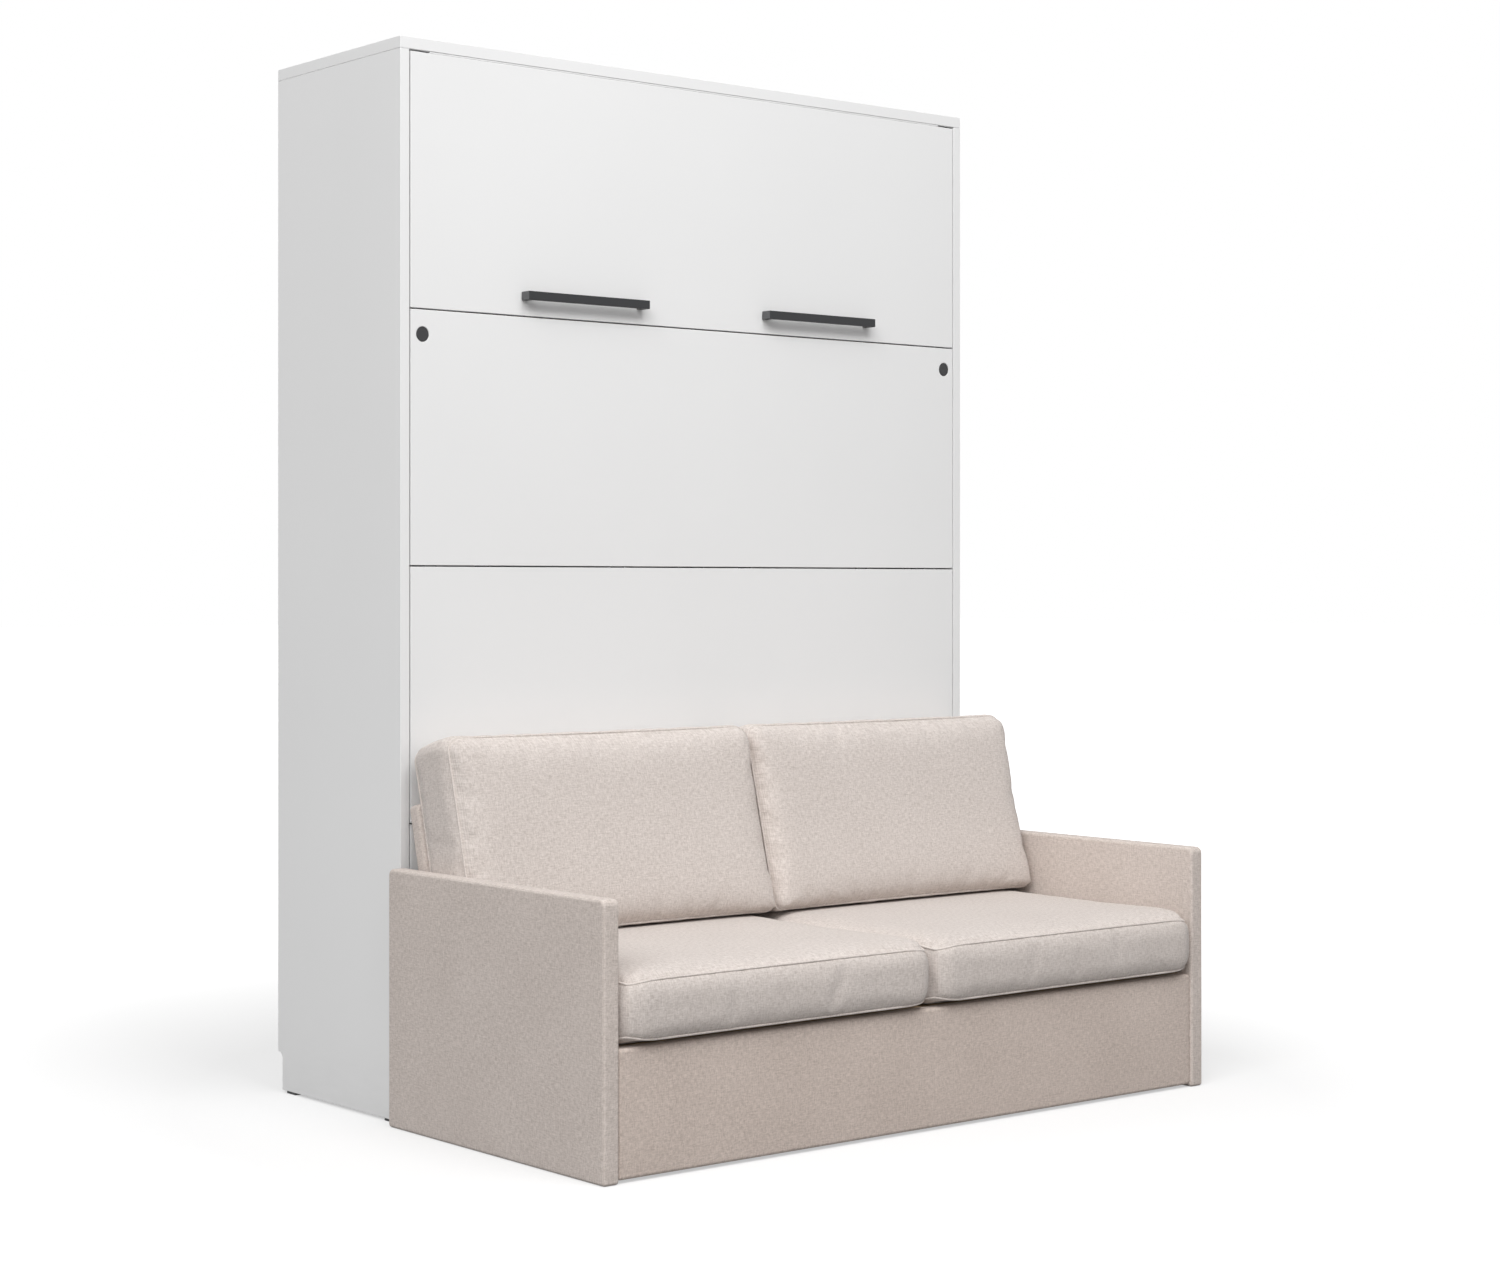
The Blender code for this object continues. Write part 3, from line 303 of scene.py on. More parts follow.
@dataclass(frozen=True)
class Laminate:
    """White melamine-faced board with a pearl texture, soiled near the floor.

    Where front_y is given, a hairline shows where the edge band meets the face.
    """

    name: str
    colour: Colour
    roughness: float = 0.42
    roughness_swing: Range = (-0.05, 0.06)
    specular: float = 0.42
    pearl_scale: float = 520.0
    pearl_height: float = 0.00006
    cloud_scale: float = 2.3
    cloud_tone: float = 0.985
    front_y: float | None = None
    band_thickness: float = 0.0012
    line_width: float = 0.00035
    line_tone: float = 0.62
    soil: float = 0.10
    soil_height: float = 0.16
    soil_tone: float = 0.6
    scuff_scale: float = 16.0
    scuff_draw: float = 4.0
    scuff_band: Range = (0.35, 0.7)
    scuff_share: Range = (0.2, 1.0)
    wipe_scale: float = 7.0
    wipe_draw: float = 0.35
    wipe_band: Range = (0.25, 0.75)

    def build(self) -> Material:
        """Make the material.

        Returns:
            The material.
        """
        sketch = Sketch(bpy.data.materials.new(self.name))
        place = sketch.place()
        _, y, z = sketch.split(place)
        cloud = sketch.grain(place, self.cloud_scale, detail=3.0)
        cloudy = sketch.span(cloud, NOISE_BAND)
        colour = sketch.blend(cloudy, tinted(self.colour, self.cloud_tone), self.colour)
        if self.front_y is not None:
            off_line = sketch.calc("SUBTRACT", y, self.front_y + self.band_thickness)
            line = sketch.calc("LESS_THAN", sketch.calc("ABSOLUTE", off_line), self.line_width / 2)
            colour = sketch.blend(line, colour, tinted(self.colour, self.line_tone))
        low = sketch.span(z, (0.0, self.soil_height), (self.soil, 0.0))
        upright = sketch.drawn(place, Axis.Z, self.scuff_draw)
        scuffs = sketch.grain(upright, self.scuff_scale, detail=5.0)
        scuffed = sketch.span(scuffs, self.scuff_band, self.scuff_share)
        soiled = sketch.calc("MULTIPLY", low, scuffed)
        colour = sketch.blend(soiled, colour, tinted(self.colour, self.soil_tone))
        upright = sketch.drawn(place, Axis.Z, self.wipe_draw)
        wiped = sketch.grain(upright, self.wipe_scale, detail=4.0)
        gloss = around(self.roughness, self.roughness_swing)
        roughness = sketch.span(wiped, self.wipe_band, gloss)
        pearl = sketch.grain(place, self.pearl_scale, detail=3.0)
        normal = sketch.relief(pearl, self.pearl_height)
        return sketch.finish(colour, roughness, normal, Specular_IOR_Level=self.specular)


@dataclass(frozen=True)
class PowderCoat:
    """Painted metal with a fine grainy skin, rubbed brighter along its edges.

    Where run and the end colour are given, the skin is drawn out along run and the end faces
    get that lighter colour: a painted highlight for the light that falls on them.
    """

    name: str
    colour: Colour
    rubbed: Colour
    roughness: float
    metallic: float = 0.0
    roughness_swing: Range = (-0.06, 0.07)
    specular: float = 0.35
    skin_scale: float = 1400.0
    skin_height: float = 0.00005
    run: Axis | None = None
    run_draw: float = 0.02
    lit_ends: Colour | None = None
    end_facing: float = 0.8
    edge_width: float = 0.0007
    edge_samples: int = 4
    edge_band: Range = (0.80, 0.98)
    rub_scale: float = 34.0
    rub_band: Range = (0.45, 0.7)
    rub_share: Range = (0.0, 0.8)

    def build(self) -> Material:
        """Make the material.

        Returns:
            The material.
        """
        sketch = Sketch(bpy.data.materials.new(self.name))
        place = sketch.place()
        facing = sketch.facing()
        skin = sketch.grain(sketch.drawn(place, self.run, self.run_draw), self.skin_scale)
        rub = sketch.grain(place, self.rub_scale, detail=4.0)
        rounded = sketch.node("Bevel", {"Radius": self.edge_width}, samples=self.edge_samples)
        feeds = {0: rounded.outputs[0], 1: facing}
        alike = sketch.node("VectorMath", feeds, operation="DOT_PRODUCT").outputs["Value"]
        edges = sketch.span(alike, self.edge_band, (1.0, 0.0))
        worn = sketch.calc("MULTIPLY", edges, sketch.span(rub, self.rub_band, self.rub_share))
        plain = self.colour
        # The end faces along run are painted lighter: a painted highlight for the light that falls
        # on them.
        if self.run is not None and self.lit_ends is not None:
            along = sketch.calc("ABSOLUTE", sketch.split(facing)[self.run.value])
            cut = sketch.calc("GREATER_THAN", along, self.end_facing)
            plain = sketch.blend(cut, self.colour, self.lit_ends)
        colour = sketch.blend(worn, plain, self.rubbed)
        roughness = sketch.span(rub, NOISE_BAND, around(self.roughness, self.roughness_swing))
        normal = sketch.relief(skin, self.skin_height)
        return sketch.finish(
            colour, roughness, normal, Metallic=self.metallic, Specular_IOR_Level=self.specular
        )


@dataclass(frozen=True)
class BrightMetal:
    """Zinc-plated or drawn steel with marks along its length."""

    name: str
    colour: Colour
    roughness: float
    run: Axis = Axis.Z
    run_draw: float = 0.03
    roughness_swing: Range = (-0.05, 0.10)
    streak_scale: float = 300.0
    streak_height: float = 0.00003
    spangle_tone: float = 0.84
    spangle_scale: float = 120.0
    spangle_band: Range = (0.35, 0.65)

    def build(self) -> Material:
        """Make the material.

        Returns:
            The material.
        """
        sketch = Sketch(bpy.data.materials.new(self.name))
        place = sketch.place()
        patch = sketch.grain(place, self.spangle_scale, detail=1.0)
        bright = sketch.span(patch, self.spangle_band)
        colour = sketch.blend(bright, tinted(self.colour, self.spangle_tone), self.colour)
        along = sketch.drawn(place, self.run, self.run_draw)
        streak = sketch.grain(along, self.streak_scale, detail=3.0)
        roughness = sketch.span(streak, NOISE_BAND, around(self.roughness, self.roughness_swing))
        normal = sketch.relief(streak, self.streak_height)
        return sketch.finish(colour, roughness, normal, Metallic=1.0)


@dataclass(frozen=True)
class MouldedPlastic:
    """Black moulded plastic with a fine eroded skin."""

    name: str
    colour: Colour = (0.022, 0.022, 0.024)
    roughness: float = 0.52
    roughness_swing: Range = (-0.08, 0.08)
    skin_scale: float = 1800.0
    skin_height: float = 0.00008
    scuff_scale: float = 90.0
    scuff_band: Range = (0.58, 0.72)
    scuff_share: Range = (0.0, 0.5)
    scuff_tone: float = 2.4

    def build(self) -> Material:
        """Make the material.

        Returns:
            The material.
        """
        sketch = Sketch(bpy.data.materials.new(self.name))
        place = sketch.place()
        scuff = sketch.grain(place, self.scuff_scale, detail=5.0)
        scuffed = sketch.span(scuff, self.scuff_band, self.scuff_share)
        colour = sketch.blend(scuffed, self.colour, tinted(self.colour, self.scuff_tone))
        roughness = sketch.span(scuff, NOISE_BAND, around(self.roughness, self.roughness_swing))
        skin = sketch.grain(place, self.skin_scale, detail=3.0)
        return sketch.finish(colour, roughness, sketch.relief(skin, self.skin_height))


@dataclass(frozen=True)
class Timber:
    """Lacquered wood with its grain along one axis.

    With plies it is plywood that shows them on its edges, and with slat_pitch it is a row of
    slats with woven tape in their gaps.
    """

    name: str
    light: Colour
    dark: Colour
    run: Axis = Axis.X
    run_draw: float = 0.06
    roughness: float = 0.46
    roughness_swing: Range = (0.0, 0.12)
    figure_scale: float = 42.0
    figure_band: Range = (0.32, 0.68)
    pore_scale: float = 620.0
    pore_band: Range = (0.60, 0.72)
    pore_share: Range = (0.0, 0.45)
    pore_tone: float = 0.6
    pore_height: float = 0.00006
    plies: float = 0.0
    ply_band: Range = (-0.2, 0.4)
    ply_share: Range = (0.0, 0.6)
    ply_tone: float = 0.55
    edge_facing: float = 0.5
    slat_low: float = 0.173
    slat_width: float = 0.053
    slat_pitch: float = 0.0
    tape: Colour = (0.055, 0.055, 0.060)
    tape_tone: float = 2.2
    rib_pitch: float = 0.0024
    rib_band: Range = (-0.6, 0.6)

    def build(self) -> Material:
        """Make the material.

        Returns:
            The material.
        """
        sketch = Sketch(bpy.data.materials.new(self.name))
        place = sketch.place()
        along = sketch.drawn(place, self.run, self.run_draw)
        figure = sketch.grain(along, self.figure_scale, detail=5.0)
        pore = sketch.grain(along, self.pore_scale)
        colour = sketch.blend(sketch.span(figure, self.figure_band), self.light, self.dark)
        open_pore = sketch.span(pore, self.pore_band, self.pore_share)
        colour = sketch.blend(open_pore, colour, tinted(self.dark, self.pore_tone))
        _, _, z = sketch.split(place)
        if self.plies:
            wave = sketch.calc("SINE", sketch.calc("MULTIPLY", z, math.tau / self.plies))
            up = sketch.calc("ABSOLUTE", sketch.split(sketch.facing())[Axis.Z.value])
            edge = sketch.calc("LESS_THAN", up, self.edge_facing)
            band = sketch.calc("MULTIPLY", edge, sketch.span(wave, self.ply_band, self.ply_share))
            colour = sketch.blend(band, colour, tinted(self.dark, self.ply_tone))
        if self.slat_pitch:
            from_first = sketch.calc("SUBTRACT", z, self.slat_low)
            past_slat = sketch.calc("FRACT", sketch.calc("DIVIDE", from_first, self.slat_pitch))
            gap = sketch.calc("GREATER_THAN", past_slat, self.slat_width / self.slat_pitch)
            rib = sketch.calc("SINE", sketch.calc("MULTIPLY", z, math.tau / self.rib_pitch))
            ribbed = sketch.span(rib, self.rib_band)
            woven = sketch.blend(ribbed, self.tape, tinted(self.tape, self.tape_tone))
            colour = sketch.blend(gap, colour, woven)
        roughness = sketch.span(figure, NOISE_BAND, around(self.roughness, self.roughness_swing))
        return sketch.finish(colour, roughness, sketch.relief(pore, self.pore_height))


@dataclass(frozen=True)
class Weave:
    """Heathered plain weave, gathered along the seams, on the piece's own cloth map."""

    name: str
    light: Colour = (0.80, 0.717, 0.667)
    dark: Colour = (0.49, 0.419, 0.376)
    pitch: float = 0.0020
    drift: float = 0.0016
    drift_scale: float = 55.0
    dip: float = 0.35
    relief_height: float = 0.00045
    relief_strength: float = 0.8
    warp_step: float = 0.731
    warp_slub_scale: float = 95.0
    weft_step: float = 0.617
    weft_slub_scale: float = 70.0
    weft_level: float = 7.0
    slub: float = 0.48
    fleck: float = 0.55
    fleck_scale: float = 420.0
    cloud: float = 0.14
    cloud_scale: float = 6.0
    heather: float = 0.85
    heather_scale: float = 340.0
    heather_draw: float = 0.26
    # The next two fields paint the yarn tops lighter and the hollows between yarns darker: painted
    # shade.
    crown: float = 0.22
    crown_shade_middle: float = 0.6
    tone_band: Range = (0.10, 0.85)
    gather_width: float = 0.022
    gather_scale: float = 62.0
    gather_strength: float = 0.7
    pucker: float = 0.0016
    roughness: float = 0.92
    sheen: float = 0.22
    sheen_roughness: float = 0.45
    specular: float = 0.18

    def build(self) -> Material:
        """Make the material.

        Returns:
            The material.
        """
        sketch = Sketch(bpy.data.materials.new(self.name))
        flat = sketch.flat()
        height, yarn_tone = self.yarns(sketch, flat)
        fleck = sketch.grain(flat, self.fleck_scale)
        cloud = sketch.grain(flat, self.cloud_scale, detail=3.0)
        tone = sketch.sway(0.5, yarn_tone, self.slub)
        tone = sketch.sway(tone, fleck, self.fleck)
        tone = sketch.sway(tone, cloud, self.cloud)
        for across in (Axis.Y, Axis.X):
            drawn = sketch.drawn(flat, across, self.heather_draw)
            streak = sketch.grain(drawn, self.heather_scale, detail=3.0)
            tone = sketch.sway(tone, streak, self.heather)
        # Yarn tops painted lighter, hollows between yarns darker: painted shade.
        tone = sketch.sway(tone, height, self.crown, self.crown_shade_middle)
        colour = sketch.blend(sketch.span(tone, self.tone_band), self.dark, self.light)
        normal = sketch.relief(height, self.relief_height, self.relief_strength)
        seam = sketch.node("Attribute", attribute_name=SEAM_LAYER).outputs["Fac"]
        near = sketch.span(seam, (0.0, self.gather_width), (1.0, 0.0))
        gather = sketch.grain(flat, self.gather_scale, detail=3.0)
        folds = sketch.calc("MULTIPLY", near, gather)
        normal = sketch.relief(folds, self.pucker, self.gather_strength, normal)
        return sketch.finish(
            colour,
            self.roughness,
            normal,
            Sheen_Weight=self.sheen,
            Sheen_Roughness=self.sheen_roughness,
            Specular_IOR_Level=self.specular,
        )

    def yarns(self, sketch: Sketch, flat: Socket) -> tuple[Socket, Socket]:
        """The yarns that pass over and under each other.

        Args:
            sketch: The material's nodes.
            flat: The place on the cloth.

        Returns:
            The yarns' height, and the tone of the yarn on top.
        """
        drift = sketch.grain(flat, self.drift_scale, outlet="Color")
        feeds = {0: drift, 1: (self.drift, self.drift, 0.0), 2: flat}
        wander = sketch.node("VectorMath", feeds, operation="MULTIPLY_ADD").outputs[0]
        u, v, _ = sketch.split(wander)
        counts = [sketch.calc("DIVIDE", way, self.pitch) for way in (u, v)]
        warp_yarn, weft_yarn = (sketch.calc("FLOOR", count) for count in counts)
        warp_round, weft_round = (
            sketch.calc("SINE", sketch.calc("MULTIPLY", sketch.calc("FRACT", count), math.pi))
            for count in counts
        )
        parity = sketch.calc("PINGPONG", sketch.calc("ADD", warp_yarn, weft_yarn), 1.0)
        warp_lift = sketch.calc("MULTIPLY_ADD", weft_round, parity, self.dip)
        over_warp = sketch.calc("MULTIPLY", warp_round, warp_lift)
        under = sketch.calc("SUBTRACT", 1.0, parity)
        weft_lift = sketch.calc("MULTIPLY_ADD", warp_round, under, self.dip)
        over_weft = sketch.calc("MULTIPLY", weft_round, weft_lift)
        warp_key = sketch.calc("MULTIPLY", warp_yarn, self.warp_step)
        warp_slub = sketch.calc("MULTIPLY", v, self.warp_slub_scale)
        weft_slub = sketch.calc("MULTIPLY", u, self.weft_slub_scale)
        weft_key = sketch.calc("MULTIPLY", weft_yarn, self.weft_step)
        warp_place = sketch.join(warp_key, warp_slub)
        weft_place = sketch.join(weft_slub, weft_key, self.weft_level)
        warp_tone, weft_tone = (
            sketch.grain(place, scale=1.0, detail=3.0) for place in (warp_place, weft_place)
        )
        top = sketch.calc("GREATER_THAN", over_warp, over_weft)
        feeds = {"Factor": top, "A": weft_tone, "B": warp_tone}
        tone = sketch.node("Mix", feeds, data_type="FLOAT").outputs[0]
        return sketch.calc("MAXIMUM", over_warp, over_weft), tone


@dataclass(frozen=True)
class Knit:
    """The mattress's off-white knitted cover, or webbing with ribs along one direction."""

    name: str
    light: Colour = (0.80, 0.79, 0.765)
    dark: Colour = (0.60, 0.59, 0.57)
    loop: float = 0.0026
    row_share: float = 0.7
    relief_height: float = 0.0005
    relief_strength: float = 0.6
    cloud: float = 0.6
    cloud_scale: float = 14.0
    # The share by which loop tops are painted lighter than the hollows between loops: painted
    # shade.
    crown: float = 0.5
    tone_band: Range = (0.2, 0.7)
    roughness: float = 0.90
    sheen: float = 0.15
    specular: float = 0.2

    def build(self) -> Material:
        """Make the material.

        Returns:
            The material.
        """
        sketch = Sketch(bpy.data.materials.new(self.name))
        flat = sketch.flat()
        u, v, _ = sketch.split(flat)
        column = sketch.calc("SINE", sketch.calc("MULTIPLY", u, math.tau / self.loop))
        bend = sketch.calc("ABSOLUTE", column)
        rows = sketch.calc("MULTIPLY_ADD", v, math.tau / (self.loop * self.row_share), bend)
        stitch = sketch.calc("MULTIPLY", column, sketch.calc("SINE", rows))
        height = sketch.calc("MULTIPLY_ADD", stitch, 0.5, 0.5)
        cloud = sketch.grain(flat, self.cloud_scale, detail=3.0)
        # Loop tops painted lighter, hollows between loops darker: painted shade.
        crown = sketch.calc("MULTIPLY", height, self.crown)
        tone = sketch.calc("MULTIPLY_ADD", cloud, self.cloud, crown)
        colour = sketch.blend(sketch.span(tone, self.tone_band), self.dark, self.light)
        normal = sketch.relief(height, self.relief_height, self.relief_strength)
        return sketch.finish(
            colour,
            self.roughness,
            normal,
            Sheen_Weight=self.sheen,
            Specular_IOR_Level=self.specular,
        )


@dataclass
class Finishes:
    """Every finish of the object, each made once."""

    cabinet_front_y: float = 0.126
    slat_run: float = 1.851
    slat_gaps: int = 13
    board_cloud: float = 0.24

    def __post_init__(self) -> None:
        """Make the materials."""
        white = (0.84, 0.84, 0.84)
        self.carcass = Laminate("white laminate", white, front_y=self.cabinet_front_y).build()
        self.front = Laminate("front laminate", white).build()
        self.back = Laminate(
            "white back leaf", (0.74, 0.74, 0.73), roughness=0.6, pearl_scale=160.0
        ).build()
        self.plastic = MouldedPlastic("black plastic").build()
        self.anthracite = PowderCoat(
            "anthracite coat",
            (0.026, 0.027, 0.029),
            (0.07, 0.07, 0.073),
            roughness=0.46,
            skin_scale=900.0,
            run=Axis.X,
            # The handles' end faces are painted lighter: painted highlight.
            lit_ends=(0.095, 0.096, 0.100),
        ).build()
        self.grey_coat = PowderCoat(
            "grey coat", (0.36, 0.37, 0.38), (0.52, 0.52, 0.53), roughness=0.48
        ).build()
        self.black_coat = PowderCoat(
            "black coat",
            (0.020, 0.020, 0.021),
            (0.08, 0.08, 0.08),
            roughness=0.30,
            metallic=0.2,
        ).build()
        self.zinc = BrightMetal("zinc plate", (0.60, 0.61, 0.62), roughness=0.34).build()
        self.chrome = BrightMetal(
            "drawn tube", (0.74, 0.74, 0.75), roughness=0.16, run=Axis.Y, spangle_tone=0.96
        ).build()
        self.beech = Timber("lacquered beech", (0.70, 0.50, 0.31), (0.52, 0.34, 0.19)).build()
        self.slats = Timber(
            "taped slats",
            (0.72, 0.53, 0.34),
            (0.54, 0.36, 0.21),
            slat_pitch=self.slat_run / self.slat_gaps,
        ).build()
        self.plywood = Timber(
            "plywood", (0.66, 0.50, 0.32), (0.50, 0.35, 0.20), plies=0.0026
        ).build()
        self.cloth = Weave("woven upholstery", cloud=self.board_cloud).build()
        # A warmer, slightly darker copy of the woven upholstery: painted shade for the front board
        # under the seat cushions.
        self.shaded_front_cloth = Weave(
            "woven front cover with painted shade",
            (0.80, 0.688, 0.621),
            (0.49, 0.402, 0.351),
            cloud=self.board_cloud,
        ).build()
        # A lighter, cooler copy of the woven upholstery: painted light for the cushions, which face
        # the lamps above and in front.
        self.lit_cushion_cloth = Weave(
            "woven cushion cover with painted light", (0.814, 0.747, 0.706), (0.50, 0.437, 0.399)
        ).build()
        # A copy of the cushion cloth with its darks lifted: painted light that offsets the shade
        # along the thin welts.
        self.welt = Weave(
            "woven welt with painted light",
            (0.80, 0.741, 0.702),
            (0.51, 0.445, 0.406),
            pucker=0.0,
            relief_height=0.0002,
        ).build()
        self.cover = Knit("knitted cover").build()
        self.tape = Knit(
            "edge tape", (0.56, 0.56, 0.55), (0.36, 0.36, 0.35), loop=0.0018
        ).build()
        self.webbing = Knit(
            "grey webbing", (0.20, 0.20, 0.21), (0.08, 0.08, 0.085), loop=0.0022
        ).build()


def edges_along(bm: BMesh, axis: Axis) -> list[bmesh.types.BMEdge]:
    """The edges that run along one axis.

    Args:
        bm: The mesh.
        axis: The axis.

    Returns:
        The edges.
    """
    found = []
    for edge in bm.edges:
        run = edge.verts[1].co - edge.verts[0].co
        if run.length > 0 and abs(run[axis.value]) > ALIGNED * run.length:
            found.append(edge)
    return found


def block(size: Sequence[float], cuts: Sequence[int] = (0, 0, 0)) -> BMesh:
    """A box about the origin, cut into a grid.

    Args:
        size: Its size along X, Y and Z.
        cuts: Loops across each axis.

    Returns:
        The box.
    """
    bm = bmesh.new()
    bmesh.ops.create_cube(bm, size=1.0)
    bmesh.ops.scale(bm, vec=Vector(size), verts=bm.verts)
    for axis, count in zip(Axis, cuts):
        if count:
            crossed = edges_along(bm, axis)
            bmesh.ops.subdivide_edges(bm, edges=crossed, cuts=count, use_grid_fill=True)
    return bm


def soften(bm: BMesh, edges: Sequence[bmesh.types.BMEdge], radius: float, segments: int) -> None:
    """Round some edges.

    Args:
        bm: The mesh.
        edges: The edges.
        radius: How far the rounding reaches.
        segments: Its steps.
    """
    bmesh.ops.bevel(
        bm,
        geom=edges,
        offset=radius,
        segments=segments,
        affect="EDGES",
        profile=0.5,
        material=-1,
    )


def lay_cloth(bm: BMesh, shift: Range = (0.0, 0.0)) -> None:
    """Give each face the UV of a cloth laid square on it, in metres.

    Args:
        bm: The mesh.
        shift: Where on the cloth the piece was cut.
    """
    layer = bm.loops.layers.uv.get(CLOTH_MAP) or bm.loops.layers.uv.new(CLOTH_MAP)
    bm.normal_update()
    for face in bm.faces:
        facing = max(range(3), key=lambda i: abs(face.normal[i]))
        first, second = [(1, 2), (0, 2), (0, 1)][facing]
        for loop in face.loops:
            loop[layer].uv = (loop.vert.co[first] + shift[0], loop.vert.co[second] + shift[1])


def linked(name: str, data: bpy.types.ID) -> Piece:
    """Put a new object in the scene.

    Args:
        name: Its name.
        data: Its mesh, curve, light or camera.

    Returns:
        The object.
    """
    made = bpy.data.objects.new(name, data)
    bpy.context.scene.collection.objects.link(made)
    return made


def make_object(name: str, bm: BMesh, material: Material, smooth: bool = True) -> Piece:
    """Turn a bmesh into a linked object.

    Args:
        name: The object's name.
        bm: The mesh, which is used up.
        material: Its finish.
        smooth: Whether its faces are shaded smooth.

    Returns:
        The object.
    """
    for face in bm.faces:
        face.smooth = smooth
    mesh = bpy.data.meshes.new(name)
    bm.to_mesh(mesh)
    bm.free()
    mesh.materials.append(material)
    return linked(name, mesh)


def hang(
    piece: Piece, body: str, node: str | None = None
) -> None:
    """Hang a piece on its body, hide the node that it stands for, and report it.

    Args:
        piece: The piece.
        body: The body that it rides on.
        node: The node that it stands for, if any.
    """
    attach(piece, body)
    if node is not None:
        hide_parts(node)
    LOG.info("%s on %s", piece.name, body)


def refine(piece: Piece) -> None:
    """Add a live Subdivision Surface of one level."""
    step = piece.modifiers.new("Smooth", "SUBSURF")
    step.levels = step.render_levels = 1


def even_normals(piece: Piece) -> None:
    """Keep large faces looking flat beside rounded edges."""
    piece.modifiers.new("Even normals", "WEIGHTED_NORMAL").keep_sharp = True


def coordinates(mesh: bpy.types.Mesh) -> np.ndarray:
    """Read the places of a mesh's points.

    Args:
        mesh: The mesh.

    Returns:
        The places, one row each.
    """
    found = np.zeros(len(mesh.vertices) * 3)
    mesh.vertices.foreach_get("co", found)
    return found.reshape(-1, 3)


def set_coordinates(mesh: bpy.types.Mesh, places: np.ndarray) -> None:
    """Write the places of a mesh's points."""
    mesh.vertices.foreach_set("co", places.astype(np.float32).ravel())
    mesh.update()


def evaluated(piece: Piece) -> Piece:
    """An object as its modifiers or its curve make it."""
    return piece.evaluated_get(bpy.context.evaluated_depsgraph_get())


def inflate(
    piece: Piece, pinned: Sequence[int], pressure: float, growth: float, cap: float
) -> None:
    """Swell a pad with a short cloth simulation and keep the result in its mesh.

    Args:
        piece: The pad, at rest about the origin.
        pinned: The points that stay, such as those on the seams.
        pressure: The air pressure inside.
        growth: How much longer the cloth is than the shape, as a share.
        cap: The most that a point may move.
    """
    rest = coordinates(piece.data)
    group = piece.vertex_groups.new(name=SEAM_GROUP)
    group.add(list(pinned), 1.0, "REPLACE")
    cloth = piece.modifiers.new("Cloth", "CLOTH")
    for key, value in CLOTH_SETTINGS.items():
        setattr(cloth.settings, key, value)
    cloth.settings.uniform_pressure_force = pressure
    cloth.settings.shrink_min = -growth
    cloth.settings.effector_weights.gravity = 0.0
    cloth.collision_settings.use_collision = False
    cloth.point_cache.frame_start = 1
    cloth.point_cache.frame_end = CLOTH_FRAMES
    scene = bpy.context.scene
    for frame in range(1, CLOTH_FRAMES + 1):
        scene.frame_set(frame)
    moved = coordinates(evaluated(piece).data) - rest
    reach = np.linalg.norm(moved, axis=1, keepdims=True)
    moved *= cap * np.tanh(reach / cap) / np.maximum(reach, NEAR_ZERO)
    piece.modifiers.remove(cloth)
    piece.vertex_groups.remove(group)
    scene.frame_set(1)
    set_coordinates(piece.data, rest + moved)


def add_line(path: bpy.types.Curve, points: Sequence[Sequence[float]], closed: bool) -> None:
    """Add a line through some points to a curve.

    Args:
        path: The curve.
        points: The points in order.
        closed: Whether the line returns to its start.
    """
    spline = path.splines.new("POLY")
    spline.points.add(len(points) - 1)
    for target, place in zip(spline.points, points):
        target.co = (*place, 1.0)
    spline.use_cyclic_u = closed


def mesh_of(path: bpy.types.Curve) -> BMesh:
    """The mesh that a curve makes.

    Args:
        path: The curve, which is used up.

    Returns:
        Its mesh.
    """
    guide = linked(path.name, path)
    made = evaluated(guide)
    bm = bmesh.new()
    bm.from_mesh(made.to_mesh())
    made.to_mesh_clear()
    bpy.data.objects.remove(guide)
    return bm


def tube_along(
    name: str, loops: Iterable[Sequence[Vector]], radius: float, material: Material
) -> Piece:
    """A round cord along closed loops, as one mesh.

    Args:
        name: The object's name.
        loops: The points of each loop.
        radius: The cord's radius.
        material: Its finish.

    Returns:
        The cord.
    """
    path = bpy.data.curves.new(name + "_path", "CURVE")
    path.dimensions = "3D"
    path.bevel_depth = radius
    path.bevel_resolution = CORD_RESOLUTION
    for loop in loops:
        add_line(path, loop, closed=True)
    bm = mesh_of(path)
    bmesh.ops.recalc_face_normals(bm, faces=bm.faces)
    lay_cloth(bm)
    return make_object(name, bm, material)


def rounded_loop(half_a: float, half_b: float, radius: float, steps: int) -> list[Range]:
    """The points of a rectangle with round corners about the origin.

    Args:
        half_a: Half its first side.
        half_b: Half its second side.
        radius: The corners' radius.
        steps: Points to a corner, less one.

    Returns:
        The points in order.
    """
    points = []
    for corner, (a, b) in enumerate(((1, 1), (-1, 1), (-1, -1), (1, -1))):
        for step in range(steps + 1):
            turn = math.radians(90 * (corner + step / steps))
            first = a * (half_a - radius) + radius * math.cos(turn)
            second = b * (half_b - radius) + radius * math.sin(turn)
            points.append((first, second))
    return points


